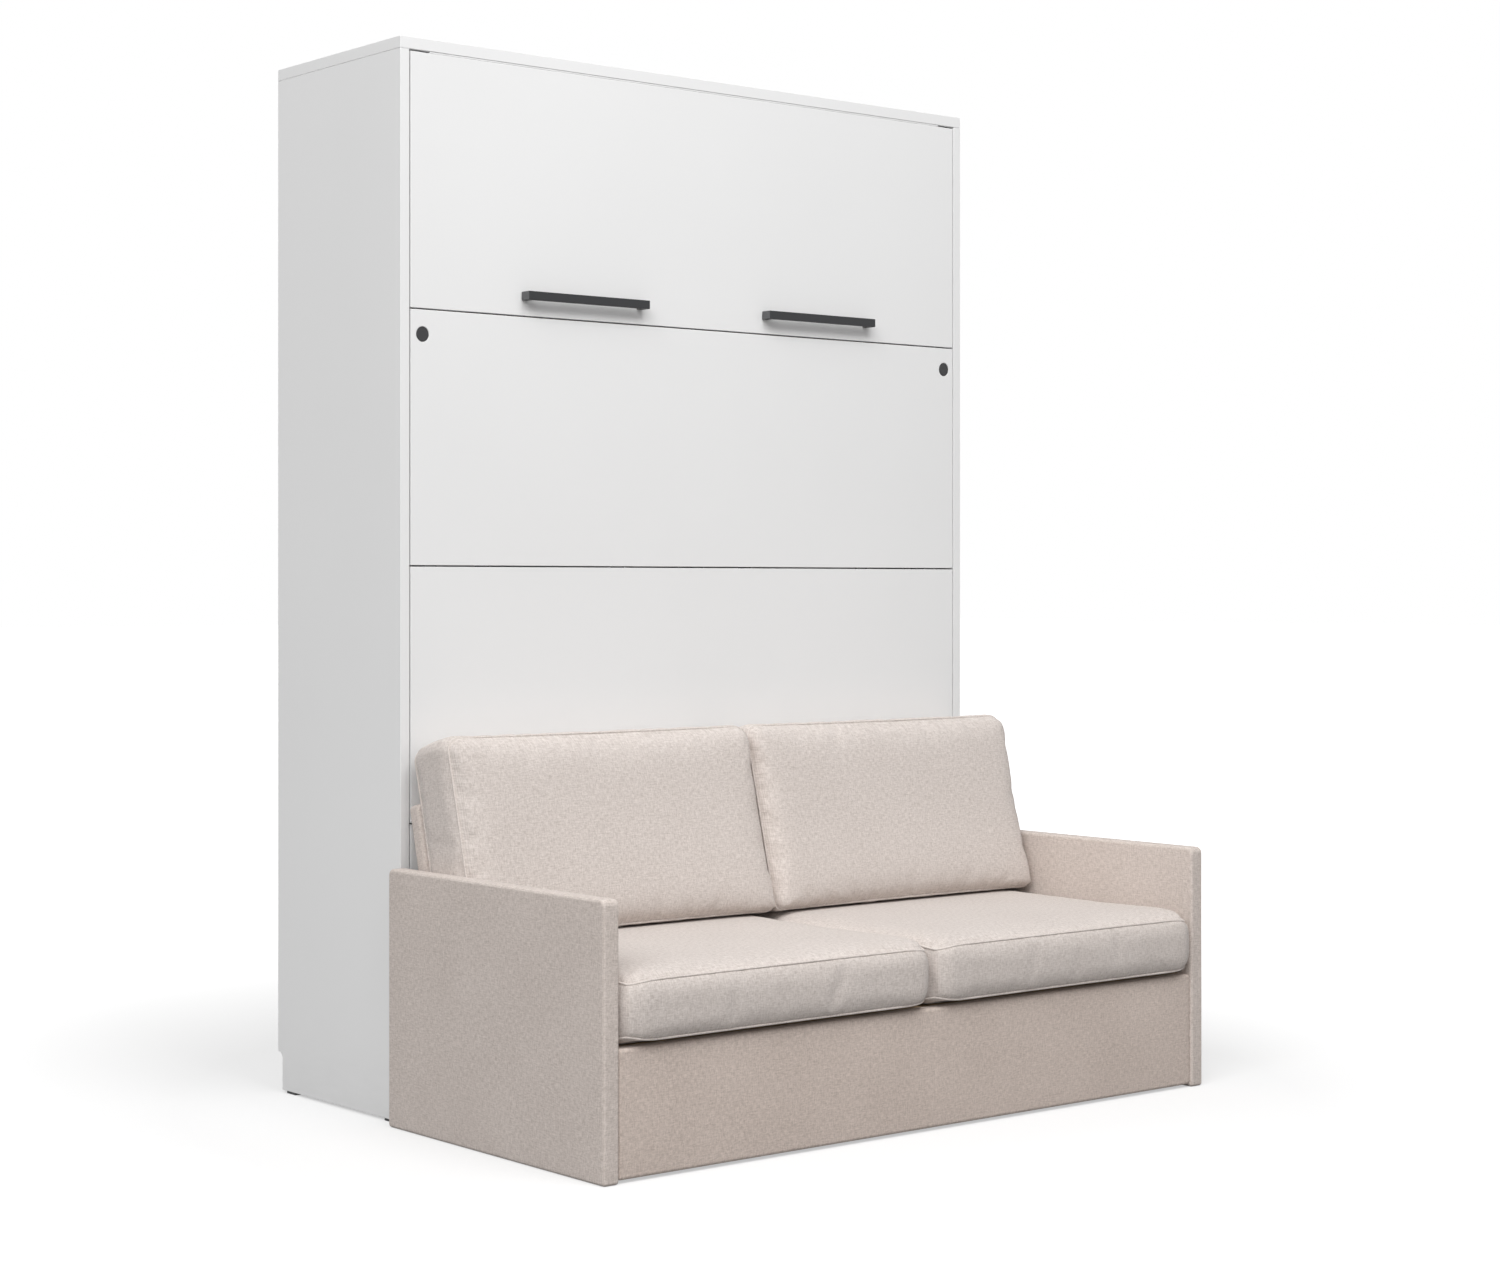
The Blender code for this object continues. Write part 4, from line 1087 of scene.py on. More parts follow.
@dataclass
class BoxCushion:
    """A boxed cushion, simulated: two panels, a gusset between them, and a welt along each seam.

    It is made about the origin with X across, Y deep and Z thick. Its lower seam lies low_rise
    above its base and its upper seam high_rise under its top. The gusset swells past the seams by
    the bulges, which are those of the left, right, front and rear. Near the front corners the
    seams are pinched together, and with clear_width the underside stays up at the front.
    """

    name: str
    size: Point
    low_rise: float
    high_rise: float
    seed: int
    fore_corner_radius: float
    bulges: tuple[float, float, float, float]
    roll_width: float
    roll_share: float
    corner_radius: float = 0.030
    draw_in: float = 0.003
    cell: float = 0.0118
    spread_share: float = 0.62
    cut_steps: Range = (0.137, 0.271)
    wobble_scale: float = 8.0
    wobble_step: float = 3.1
    panel_wobble: float = 0.06
    gusset_wobble: float = 0.15
    gusset_power: float = 3.2
    pucker: float = 0.0014
    rear_pucker_share: float = 0.5
    fold_reach: float = 0.075
    fold_start: float = 0.012
    fold_count: float = 11.0
    fold_drift: float = 3.0
    fold_drift_scale: float = 2.0
    fold_drift_step: float = 5.7
    corner_pinch: float = 0.0
    pinch_width: float = 0.038
    pressure: float = 5.0
    growth: float = 0.012
    cap: float = 0.022
    fullness: float = 2.6
    clear_width: float = 0.0
    side_room: float = 0.0004
    welt_radius: float = 0.0023
    welt_proud: float = 0.2

    def __post_init__(self) -> None:
        """Work out the seams' rectangle and height from the cushion's own box."""
        left, right, front, rear = self.bulges
        self.low = Vector((-self.size[0] / 2 + left, -self.size[1] / 2 + front))
        self.high = Vector((self.size[0] / 2 - right, self.size[1] / 2 - rear))
        self.half_gusset = (self.size[2] - self.low_rise - self.high_rise) / 2
        self.lift = (self.low_rise - self.high_rise) / 2

    def spread(self, share: float) -> float:
        """Crowd the grid's rows, from -1 to 1, towards the edges."""
        return share + (math.sin(math.pi / 2 * share) - share) * self.spread_share

    def outline(self, u: float, v: float) -> Vector:
        """The place in plan of a point of the square grid, with round corners and drawn-in sides.

        Args:
            u: Its place across, from -1 to 1.
            v: Its place in depth, from -1 to 1.

        Returns:
            The point.
        """
        middle = (self.low + self.high) / 2
        half = (self.high - self.low) / 2
        x, y = u * half.x, v * half.y
        radius = self.fore_corner_radius if v < 0 else self.corner_radius
        over = Vector((abs(x) - (half.x - radius), abs(y) - (half.y - radius)))
        if over.x > 0 and over.y > 0:
            over *= max(over.x, over.y) / over.length
            x = math.copysign(half.x - radius + over.x, x)
            y = math.copysign(half.y - radius + over.y, y)
        x -= self.draw_in * (1 - v * v) * u ** 3
        y -= self.draw_in * (1 - u * u) * v ** 3
        return Vector((middle.x + x, middle.y + y))

    def rise(self, u: float, v: float, edge: float, height: float) -> float:
        """How far a panel stands off its seam: a round roll along the edge and a crown inside.

        Args:
            u: The point's place across, from -1 to 1.
            v: Its place in depth, from -1 to 1.
            edge: Its distance from the seam.
            height: The panel's full rise.

        Returns:
            The rise.
        """
        share = min(edge / self.roll_width, 1.0)
        roll = math.sqrt(max(0.0, 1 - (1 - share) ** 2))
        crown = (1 - u ** 4) * (1 - v ** 4)
        return height * (self.roll_share * roll + (1 - self.roll_share) * crown)

    def gather(self, u: float, v: float, edge: float, x: float, y: float) -> float:
        """Small folds that run in from the corners and fade out.

        Args:
            u: The point's place across, from -1 to 1.
            v: Its place in depth, from -1 to 1.
            edge: Its distance from the seam.
            x: Its distance across from the nearest corner.
            y: Its distance in depth from the nearest corner.

        Returns:
            The height of the folds there.
        """
        near = math.exp(-((math.hypot(x, y) / self.fold_reach) ** 2))
        fade = near * min(edge / self.fold_start, 1.0)
        scale = self.fold_drift_scale
        drift = noise.noise(Vector((u * scale, v * scale, self.fold_drift_step * self.seed)))
        phase = drift * self.fold_drift
        strength = self.pucker if v < 0 else self.pucker * self.rear_pucker_share
        return strength * fade * math.sin(math.atan2(y, x) * self.fold_count + phase)

    def pinch(self, u: float, v: float) -> float:
        """How much each seam is drawn in towards the other near the two front corners.

        Args:
            u: The point's place across, from -1 to 1.
            v: Its place in depth, from -1 to 1.

        Returns:
            The amount.
        """
        width, depth = self.high - self.low
        away = math.hypot((1 - abs(u)) * width / 2, (1 + v) * depth / 2)
        return self.corner_pinch * math.exp(-((away / self.pinch_width) ** 2))

    def bulge(self, u: float, v: float, w: float, wobble: float) -> tuple[float, float]:
        """How far the gusset swells past its seams, across and in depth.

        Args:
            u: The point's place across, from -1 to 1.
            v: Its place in depth, from -1 to 1.
            w: Its height, from -1 to 1.
            wobble: A noise about 0 that makes it uneven.

        Returns:
            The swelling along X and Y.
        """
        full = math.sqrt(max(0.0, 1 - abs(w) ** self.gusset_power))
        uneven = 1 + self.gusset_wobble * wobble
        left, right, front, rear = self.bulges
        x = math.copysign((right if u > 0 else left) * full * uneven, u)
        y = math.copysign((rear if v > 0 else front) * full * uneven, v)
        return (x if abs(u) > AT_EDGE else 0.0), (y if abs(v) > AT_EDGE else 0.0)

    def grid(self) -> tuple[BMesh, list[int]]:
        """The cushion before it swells, with its seam points.

        Returns:
            The mesh, and the numbers of the points on its seams.
        """
        width, depth = self.high - self.low
        lengths = (width, depth, 2 * self.half_gusset)
        bm = block((2.0, 2.0, 2.0), [max(3, round(length / self.cell)) for length in lengths])
        near = bm.verts.layers.float.new(SEAM_LAYER)
        seams: list[int] = []
        bm.verts.ensure_lookup_table()
        shares = [tuple(self.spread(c) for c in vert.co) for vert in bm.verts]
        for vert, (u, v, w) in zip(bm.verts, shares):
            vert.co = (u * width / 2, v * depth / 2, w * self.half_gusset)
        lay_cloth(bm, tuple(step * self.seed for step in self.cut_steps))
        for vert, (u, v, w) in zip(bm.verts, shares):
            across, along = (1 - abs(u)) * width / 2, (1 - abs(v)) * depth / 2
            edge = min(across, along)
            place = self.outline(u, v)
            z = w * (self.half_gusset - self.pinch(u, v)) + self.lift
            level = self.wobble_step * self.seed + w
            wobble = noise.noise(Vector((*(place * self.wobble_scale), level)))
            if abs(w) > AT_EDGE:
                vert[near] = edge
                if edge < TOUCH:
                    seams.append(vert.index)
                height = self.high_rise if w > 0 else self.low_rise
                rise = self.rise(u, v, edge, height) * (1 + self.panel_wobble * wobble)
                z += math.copysign(rise + self.gather(u, v, edge, across, along), w)
            else:
                vert[near] = (1 - abs(w)) * self.half_gusset
                swell_x, swell_y = self.bulge(u, v, w, wobble)
                place.x += swell_x
                place.y += swell_y
            vert.co = (place.x, place.y, z)
        return bm, seams

    def seam_loops(self, piece: Piece, seams: Sequence[int]) -> list[list[Vector]]:
        """The seam points in order round each panel, set a little proud.

        Args:
            piece: The swollen cushion.
            seams: The numbers of its seam points.

        Returns:
            A closed loop of points for each panel.
        """
        places = coordinates(piece.data)
        proud = self.welt_radius * self.welt_proud
        loops = []
        for upper in (False, True):
            chosen = [Vector(places[i]) for i in seams if (places[i][2] > self.lift) == upper]
            chosen.sort(key=lambda p: math.atan2(p.y / self.size[1], p.x / self.size[0]))
            loops.append([p + Vector((p.x, p.y, 0.0)).normalized() * proud for p in chosen])
        return loops

    def build(self, cloth: Material, welt: Material, stand: Stand) -> tuple[Piece, Piece]:
        """Make the cushion and its welts.

        Args:
            cloth: The cover's finish.
            welt: The welts' finish.
            stand: Carries points from about the origin to their place on the sofa.

        Returns:
            The cushion and the object that holds its welts.
        """
        bm, seams = self.grid()
        piece = make_object(self.name, bm, cloth)
        inflate(piece, seams, self.pressure, self.growth, self.cap)
        self.fit(piece)
        loops = self.seam_loops(piece, seams)
        welts = tube_along(self.name + "_welt", loops, self.welt_radius, welt)
        for made in (piece, welts):
            set_coordinates(made.data, stand(coordinates(made.data)))
        refine(piece)
        return piece, welts

    def fit(self, piece: Piece) -> None:
        """Press the swollen cushion into its own box, softly, as its neighbours do.

        Args:
            piece: The cushion about the origin.
        """
        places = coordinates(piece.data)
        bottom, top = -self.half_gusset + self.lift, self.half_gusset + self.lift
        above = places[:, 2] > top
        if above.any():
            share = (places[above, 2] - top) / (places[above, 2].max() - top)
            places[above, 2] = top + self.high_rise * (1 - (1 - share) ** self.fullness)
        below = places[:, 2] < bottom
        if below.any():
            sink = bottom - places[below, 2]
            rest = np.ones_like(sink)
            if self.clear_width:
                from_front = (places[below, 1] - self.low.y) / self.clear_width
                rest = np.clip(from_front, 0.0, 1.0) ** 2
            places[below, 2] = bottom - np.minimum(sink, self.low_rise * rest)
        for axis in (0, 1):
            limit = self.size[axis] / 2 - self.side_room
            places[:, axis] = np.clip(places[:, axis], -limit, limit)
        set_coordinates(piece.data, places)


@dataclass
class UpholsteredBoard:
    """A board under thin padding and cloth: soft edges and faintly domed faces."""

    name: str
    low: Vector
    high: Vector
    radius: float
    cut_at: float
    corner_radius: float = 0.0
    domed: tuple[Point, ...] = ()
    corner_steps: int = 6
    edge_steps: int = 5
    cut_ratio: float = 0.61
    dome_rise: float = 0.0014
    dome_width: float = 0.085
    slice_pitch: float = 0.032
    face_depth: float = 1e-5
    unevenness: float = 0.0005
    wobble_scale: float = 7.0
    wobble_step: float = 31.0

    def build(self, cloth: Material) -> Piece:
        """Make the board.

        Args:
            cloth: The cover's finish.

        Returns:
            The object.
        """
        size = self.high - self.low
        bm = block(size)
        if self.corner_radius:
            across = edges_along(bm, Axis.X)
            upper = [edge for edge in across if min(v.co.z for v in edge.verts) > 0]
            soften(bm, upper, self.corner_radius, self.corner_steps)
        inner = [edge for edge in bm.edges if len(edge.link_faces) == 2]
        sharp = [edge for edge in inner if edge.calc_face_angle() > SHARP_ANGLE]
        soften(bm, sharp, self.radius, self.edge_steps)
        for facing in self.domed:
            self.raise_face(bm, Vector(facing), size)
        lay_cloth(bm, (self.cut_at, self.cut_at * self.cut_ratio))
        near = bm.verts.layers.float.new(SEAM_LAYER)
        for vert in bm.verts:
            vert[near] = PAST_SEAMS
        bmesh.ops.translate(bm, vec=(self.low + self.high) / 2, verts=bm.verts)
        piece = make_object(self.name, bm, cloth)
        even_normals(piece)
        return piece

    def raise_face(self, bm: BMesh, facing: Vector, size: Vector) -> None:
        """Slice the board and dome its large face that looks one way.

        Args:
            bm: The board, about the origin.
            facing: The face's direction.
            size: The board's size.
        """
        thin = max(range(3), key=lambda i: abs(facing[i]))
        wide = [axis for axis in range(3) if axis != thin]
        for axis in wide:
            count = max(2, round(size[axis] / self.slice_pitch))
            for number in range(1, count):
                place, normal = Vector(), Vector()
                place[axis] = size[axis] * (number / count - 0.5)
                normal[axis] = 1.0
                every = bm.verts[:] + bm.edges[:] + bm.faces[:]
                bmesh.ops.bisect_plane(
                    bm, geom=every, dist=TOUCH, plane_co=place, plane_no=normal
                )
        shift = Vector((self.cut_at * self.wobble_step, 0.0, 0.0))
        for vert in bm.verts:
            if vert.co[thin] * facing[thin] < size[thin] / 2 - self.face_depth:
                continue
            edge = min(size[i] / 2 - self.radius - abs(vert.co[i]) for i in wide)
            share = min(max(edge / self.dome_width, 0.0), 1.0)
            wobble = noise.noise(vert.co * self.wobble_scale + shift)
            rise = self.dome_rise * (1 - (1 - share) ** 2) + self.unevenness * wobble * share
            vert.co[thin] += math.copysign(max(rise, 0.0), facing[thin])


@dataclass(frozen=True)
class Lean:
    """How the backrest stands: its foot, which is on the hinge's axis, and its turn back."""

    foot: Point = (0.0, 0.0225, 0.394)
    angle: float = math.radians(14)


@dataclass
class Sofa:
    """The sofa's soft pieces: arms, boards, backrest, seat cushions and back cushions."""

    finishes: Finishes
    lean: Lean
    slot: str = "sofa_fabric"
    board_fill: float = 0.95
    seat_fill: float = 0.85
    back_fill: float = 0.75
    seat_rises: tuple[float, float] = (0.013, 0.022)
    back_rises: tuple[float, float] = (0.008, 0.036)
    back_rear_y: float = 0.0200
    back_thickness: float = 0.165
    backrest_length: float = 0.2530
    backrest_thickness: float = 0.0350
    backrest_foot_play: float = 0.0055

    def build(self) -> None:
        """Make every soft piece of the sofa."""
        self.build_arms()
        self.build_boards()
        self.build_backrest()
        for side in Side:
            self.build_seat_cushion(side)
            self.build_back_cushion(side)

    def build_arms(self) -> None:
        """Make the two arms."""
        for side in Side:
            node = f"sofa_arm_{side.value}"
            board = UpholsteredBoard(
                f"arm_{side.value}",
                *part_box(node),
                radius=0.0068,
                cut_at=0.31 if side is Side.LEFT else 0.78,
                corner_radius=0.013,
                domed=((side.sign, 0, 0),),
            )
            piece = board.build(self.finishes.cloth)
            hang(piece, "cabinet", node)

    def build_boards(self) -> None:
        """Make the front board and the rear board."""
        plan = (
            # The front board gets the copy of the cloth with painted shade.
            ("front", 0.007, 0.77, ((0, -1, 0),), self.finishes.shaded_front_cloth),
            ("rear", 0.004, 0.13, (), self.finishes.cloth),
        )
        for label, radius, cut_at, domed, cloth in plan:
            node = f"sofa_{label}_board"
            board = UpholsteredBoard(
                f"{label}_board", *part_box(node), radius=radius, cut_at=cut_at, domed=domed
            )
            hang(board.build(cloth), "cabinet", node)

    def build_backrest(self) -> None:
        """Make the backrest board, leaning as its node does."""
        node = "backrest_board"
        low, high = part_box(node)
        half_width = (high.x - low.x) / 2
        top = self.backrest_foot_play + self.backrest_length
        board = UpholsteredBoard(
            "backrest",
            Vector((-half_width, 0.0, self.backrest_foot_play)),
            Vector((half_width, self.backrest_thickness, top)),
            radius=0.0095,
            cut_at=0.53,
        )
        piece = board.build(self.finishes.cloth)
        turn = Matrix.Rotation(-self.lean.angle, 4, "X")
        piece.data.transform(Matrix.Translation(self.lean.foot) @ turn)
        hang(piece, "backrest", node)

    def side_bulges(self, side: Side, outer: float, inner: float) -> tuple[float, float]:
        """The left and right bulge of a cushion, from those towards the arm and its neighbour."""
        return (outer, inner) if side is Side.LEFT else (inner, outer)

    def build_seat_cushion(self, side: Side) -> None:
        """Make one seat cushion with its welts.

        Args:
            side: Left or right.
        """
        node = f"seat_cushion_{side.value}"
        low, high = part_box(node)
        cushion = BoxCushion(
            f"seat_pad_{side.value}",
            tuple(high - low),
            *self.seat_rises,
            seed=2 + side.sign,
            fore_corner_radius=0.046,
            bulges=self.side_bulges(side, 0.007, 0.003) + (0.012, 0.006),
            roll_width=0.026,
            roll_share=0.80,
            growth=0.006,
            corner_pinch=0.0065,
            clear_width=0.050,
        )

        def stand(places: np.ndarray) -> np.ndarray:
            """Set the cushion on the deck."""
            return places + np.array(tuple((low + high) / 2))

        piece, welts = cushion.build(self.finishes.lit_cushion_cloth, self.finishes.welt, stand)
        hang(piece, "cabinet", node)
        hang(welts, "cabinet")

    def build_back_cushion(self, side: Side) -> None:
        """Make one back cushion with its welts, leaning on the backrest.

        Args:
            side: Left or right.
        """
        node = body = f"back_cushion_{side.value}"
        low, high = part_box(node)
        width, full_height = high.x - low.x, high.z - low.z
        middle_x = (low.x + high.x) / 2
        cushion = BoxCushion(
            f"back_pad_{side.value}",
            (width, full_height, self.back_thickness),
            *self.back_rises,
            seed=7 + side.sign,
            fore_corner_radius=0.017,
            draw_in=0.0015,
            bulges=self.side_bulges(side, 0.008, 0.0015) + (0.007, 0.008),
            roll_width=0.036,
            roll_share=0.68,
            pucker=0.0030,
            pressure=6.0,
        )
        slope = math.tan(self.lean.angle)

        def stand(places: np.ndarray) -> np.ndarray:
            """Stand the cushion on the seat and lean it back, its top square to its front.

            Args:
                places: Points of the cushion as it lies about the origin.

            Returns:
                The points on the sofa.
            """
            height = places[:, 1] + full_height / 2
            depth = self.back_thickness / 2 - places[:, 2]
            behind_seam = np.maximum(depth - self.back_rises[1], 0.0)
            tilt = np.clip(height / full_height, 0.0, 1.0) ** 2
            height = height - behind_seam * slope * tilt
            y = self.back_rear_y - self.back_thickness + depth + height * slope
            return np.stack((places[:, 0] + middle_x, y, low.z + height), axis=1)

        piece, welts = cushion.build(self.finishes.lit_cushion_cloth, self.finishes.welt, stand)
        for made in (piece, welts):
            made.data.flip_normals()
        hang(piece, body, node)
        hang(welts, body)


@dataclass
class Cabinet:
    """The cabinet and the bed frame: a seal, and nodes that keep their meshes and get finishes."""

    finishes: Finishes
    nodes: dict[str, Piece]
    seal_setback: float = 0.0012
    seal_clearance: float = 0.0003
    seal_thickness: float = 0.0030
    seal_radius: float = 0.0005

    def build_stop_seal(self) -> None:
        """Make the white strip under the top board, before the stop rail, that the bed meets."""
        rail_low, rail_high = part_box("top_stop_rail")
        board_low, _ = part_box("top_board")
        top = board_low.z - self.seal_clearance
        front = board_low.y + self.seal_setback
        rear = rail_low.y - self.seal_clearance
        bm = block((rail_high.x - rail_low.x, rear - front, self.seal_thickness))
        soften(bm, bm.edges[:], self.seal_radius, segments=2)
        place = (0.0, (front + rear) / 2, top - self.seal_thickness / 2)
        bmesh.ops.translate(bm, vec=place, verts=bm.verts)
        seal = make_object("stop_seal", bm, self.finishes.front)
        even_normals(seal)
        hang(seal, "cabinet")

    def dress(self) -> None:
        """Give every kept node its finish."""
        looks = self.finishes
        plan: tuple[tuple[Material, str], ...] = (
            (looks.carcass, "side_panel_ top_board plinth_board bottom_board"),
            (looks.carcass, "rear_rail_ top_stop_rail"),
            (looks.front, "front_panel_"),
            (looks.back, "back_leaf"),
            (looks.plastic, "glide_ leg_cap_"),
            (looks.anthracite, "handle_"),
            (looks.grey_coat, "side_rail_ foot_rail head_rail centre_rail leg_sleeve_"),
            (looks.black_coat, "strut_cylinder_"),
            (looks.chrome, "leg_tube_ leg_rod_ strut_rod_"),
            (looks.zinc, "wall_angle_ pivot_plate_ sofa_link_ backrest_hinge_"),
            (looks.slats, "slat_mat_"),
            (looks.beech, "seat_ledger_"),
            (looks.plywood, "seat_deck"),
        )
        for name, node in self.nodes.items():
            if node.hide_render:
                continue
            found = [look for look, starts in plan if name.startswith(tuple(starts.split()))]
            if not found:
                LOG.warning("%s has no finish", name)
                continue
            node.data.materials.clear()
            node.data.materials.append(found[0])
            LOG.info("%s is %s", name, found[0].name)


@dataclass
class Mattress:
    """The mattress: quilted cover with its side band, tape edges and the straps that hold it."""

    finishes: Finishes
    node: str = "mattress"
    slot: str = "mattress_cover"
    fill: float = 0.9
    quilt_pitch: float = 0.16
    quilt_height: float = 0.0060
    quilt_sharpness: float = 3.0
    quilt_from: float = 0.75
    cell: float = 0.016
    radius: float = 0.028
    tape_radius: float = 0.0045
    tape_inset_share: float = 0.30
    tape_corner_steps: int = 8
    strap_shares: tuple[float, ...] = (0.22, 0.70)
    strap_width: float = 0.045
    strap_thickness: float = 0.0016
    strap_start_y: float = 0.170
    strap_bend_share: float = 0.8
    strap_turns: tuple[float, ...] = (22.5, 45.0, 67.5, 90.0)

    def build(self) -> None:
        """Make the mattress, its tape edges and its straps."""
        low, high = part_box(self.node)
        size = high - low
        bm = block(size, [round(length / self.cell) for length in size])
        lay_cloth(bm)
        half = size / 2
        room = [length - self.radius for length in half]
        for vert in bm.verts:
            inner = Vector([max(-most, min(most, c)) for most, c in zip(room, vert.co)])
            out = vert.co - inner
            if out.length > 0:
                vert.co = inner + out.normalized() * self.radius
            if abs(vert.co.y) > half.y * self.quilt_from:
                vert.co.y -= math.copysign(self.quilt_height * self.quilt(vert.co), vert.co.y)
        bmesh.ops.translate(bm, vec=(low + high) / 2, verts=bm.verts)
        piece = make_object("mattress_cover", bm, self.finishes.cover)
        refine(piece)
        hang(piece, "bed", self.node)
        self.build_tapes(low, high)
        for number, share in enumerate(self.strap_shares, 1):
            self.build_strap(number, high, low.z + share * size.z)

    def build_tapes(self, low: Vector, high: Vector) -> None:
        """Make the tape edges round both large faces.

        Args:
            low: The mattress's lowest corner.
            high: Its highest corner.
        """
        inset = self.radius * self.tape_inset_share
        middle = (low + high) / 2
        half_x, half_z = (high.x - low.x) / 2 - inset, (high.z - low.z) / 2 - inset
        outline = rounded_loop(half_x, half_z, self.radius, self.tape_corner_steps)
        loops = []
        for y in (low.y + inset, high.y - inset):
            loops.append([Vector((middle.x + a, y, middle.z + b)) for a, b in outline])
        tapes = tube_along("mattress_tapes", loops, self.tape_radius, self.finishes.tape)
        hang(tapes, "bed")

    def build_strap(self, number: int, high: Vector, z: float) -> None:
        """Make one of the straps that hold the mattress on the slats.

        Args:
            number: Its number from the foot.
            high: The mattress's highest corner.
            z: The strap's height.
        """
        reach = high.x + self.strap_thickness
        back = high.y + self.strap_thickness
        bend = self.radius * self.strap_bend_share
        half = [(reach, self.strap_start_y), (reach, back - bend)]
        for turn in map(math.radians, self.strap_turns):
            half.append(
                (reach - bend * (1 - math.cos(turn)), back - bend * (1 - math.sin(turn)))
            )
        path = bpy.data.curves.new(f"strap_{number}_path", "CURVE")
        path.dimensions = "2D"
        path.fill_mode = "NONE"
        path.extrude = self.strap_width / 2
        points = [(-x, y, 0.0) for x, y in half] + [(x, y, 0.0) for x, y in half[::-1]]
        add_line(path, points, closed=False)
        bm = mesh_of(path)
        bmesh.ops.remove_doubles(bm, verts=bm.verts, dist=TOUCH)
        bmesh.ops.recalc_face_normals(bm, faces=bm.faces)
        bmesh.ops.solidify(bm, geom=bm.faces[:], thickness=self.strap_thickness)
        bmesh.ops.recalc_face_normals(bm, faces=bm.faces)
        bmesh.ops.translate(bm, vec=(0.0, 0.0, z), verts=bm.verts)
        lay_cloth(bm)
        name = f"mattress_strap_{number}"
        hang(make_object(name, bm, self.finishes.webbing, smooth=False), "bed")

    def quilt(self, co: Vector) -> float:
        """How deep the quilting is drawn in at a point.

        Args:
            co: A point of the mattress about its middle.

        Returns:
            The share of the quilting's depth, from 0 to 1.
        """
        ways = (co.x + co.z, co.x - co.z)
        waves = [abs(math.cos(math.pi * way / self.quilt_pitch)) for way in ways]
        return max(1 - min(waves) * self.quilt_sharpness, 0.0)


@dataclass(frozen=True)
class Screw:
    """Where one screw sits, the way its head faces, its body, and whether its head is let in."""

    place: Point
    facing: Point
    body: str = "cabinet"
    let_in: bool = False


@dataclass(frozen=True)
class ScrewPair:
    """Two screws side by side in one leaf of an angle, as on the right half."""

    middle: Point
    facing: Point
    spread: float


@dataclass
class Fasteners:
    """Screws with round sockets in the pivot plates, wall angles, sofa links and hinge."""

    finishes: Finishes
    lean: Lean
    slot: str = "zinc_steel"
    head_radius: float = 0.0042
    head_height: float = 0.0009
    head_taper: float = 0.78
    head_sides: int = 20
    socket_radius: float = 0.0018
    socket_depth: float = 0.0007
    socket_draft: float = 1e-5
    plate_x: float = 0.7679
    plate_foot: Range = (0.156, 0.475)
    plate_reach: Range = (0.390, 0.575)
    plate_screws: tuple[Range, ...] = (
        (0.10, 0.0),
        (0.30, 0.008),
        (0.50, -0.008),
        (0.70, 0.008),
        (0.90, 0.0),
    )
    pairs: tuple[ScrewPair, ...] = (
        ScrewPair((0.55, 0.5714, 2.134), (0.0, -1.0, 0.0), 0.016),
        ScrewPair((0.55, 0.552, 2.1527), (0.0, 0.0, -1.0), 0.016),
        ScrewPair((0.50, 0.0589, 0.031), (0.0, 1.0, 0.0), 0.0104),
        ScrewPair((0.50, 0.1247, 0.031), (0.0, -1.0, 0.0), 0.0104),
    )
    hinge_screws: int = 13
    hinge_pitch: float = 0.108
    hinge_up: float = 0.0205
    hinge_off: float = 0.00215

    def build(self) -> None:
        """Make all the screws, one object to a body."""
        groups: dict[str, list[Screw]] = {}
        for screw in self.plan():
            groups.setdefault(screw.body, []).append(screw)
        for body, screws in groups.items():
            bm = bmesh.new()
            for screw in screws:
                self.add_head(bm, screw)
            name = f"screws_{body}_{self.slot}"
            hang(make_object(name, bm, self.finishes.zinc, smooth=False), body)

    def plan(self) -> list[Screw]:
        """Work out where the screws sit.

        Returns:
            The screws.
        """
        found = []
        for side in Side:
            sign = float(side.sign)
            for share, offset in self.plate_screws:
                y, z = (a + b * share for a, b in zip(self.plate_foot, self.plate_reach))
                found.append(Screw((sign * self.plate_x, y, z + offset), (-sign, 0.0, 0.0)))
            for way in (-1, 1):
                for pair in self.pairs:
                    x, y, z = pair.middle
                    found.append(Screw((sign * x + way * pair.spread, y, z), pair.facing))
        sine, cosine = math.sin(self.lean.angle), math.cos(self.lean.angle)
        _, foot_y, foot_z = self.lean.foot
        y = foot_y + self.hinge_up * sine - self.hinge_off * cosine
        z = foot_z + self.hinge_up * cosine + self.hinge_off * sine
        for number in range(self.hinge_screws):
            x = (number - self.hinge_screws // 2) * self.hinge_pitch
            found.append(Screw((x, y, z), (0.0, -cosine, sine), "backrest", let_in=True))
        return found

    def add_head(self, bm: BMesh, screw: Screw) -> None:
        """Add one head to a mesh.

        Args:
            bm: The mesh.
            screw: The screw.
        """
        up = Vector((0.0, 0.0, 1.0))
        turn = up.rotation_difference(Vector(screw.facing)).to_matrix().to_4x4()
        lift = 0.0 if screw.let_in else self.head_height / 2
        place = Matrix.Translation(screw.place) @ turn @ Matrix.Translation(up * lift)
        crown_radius = self.head_radius * self.head_taper
        made = bmesh.ops.create_cone(
            bm,
            cap_ends=True,
            segments=self.head_sides,
            radius1=self.head_radius,
            radius2=crown_radius,
            depth=self.head_height,
        )
        faces = {f for v in made["verts"] for f in v.link_faces}
        top = max(faces, key=lambda f: f.calc_center_median().z)
        rim = crown_radius - self.socket_radius
        bmesh.ops.inset_region(bm, faces=[top], thickness=rim, depth=0.0, use_even_offset=True)
        ring = bmesh.ops.inset_region(
            bm, faces=[top], thickness=self.socket_draft, depth=-self.socket_depth
        )
        verts = set(made["verts"]) | {v for f in ring["faces"] for v in f.verts} | set(top.verts)
        grown = {v for start in verts for e in start.link_edges for v in e.verts}
        bmesh.ops.transform(bm, matrix=place, verts=list(verts | grown))


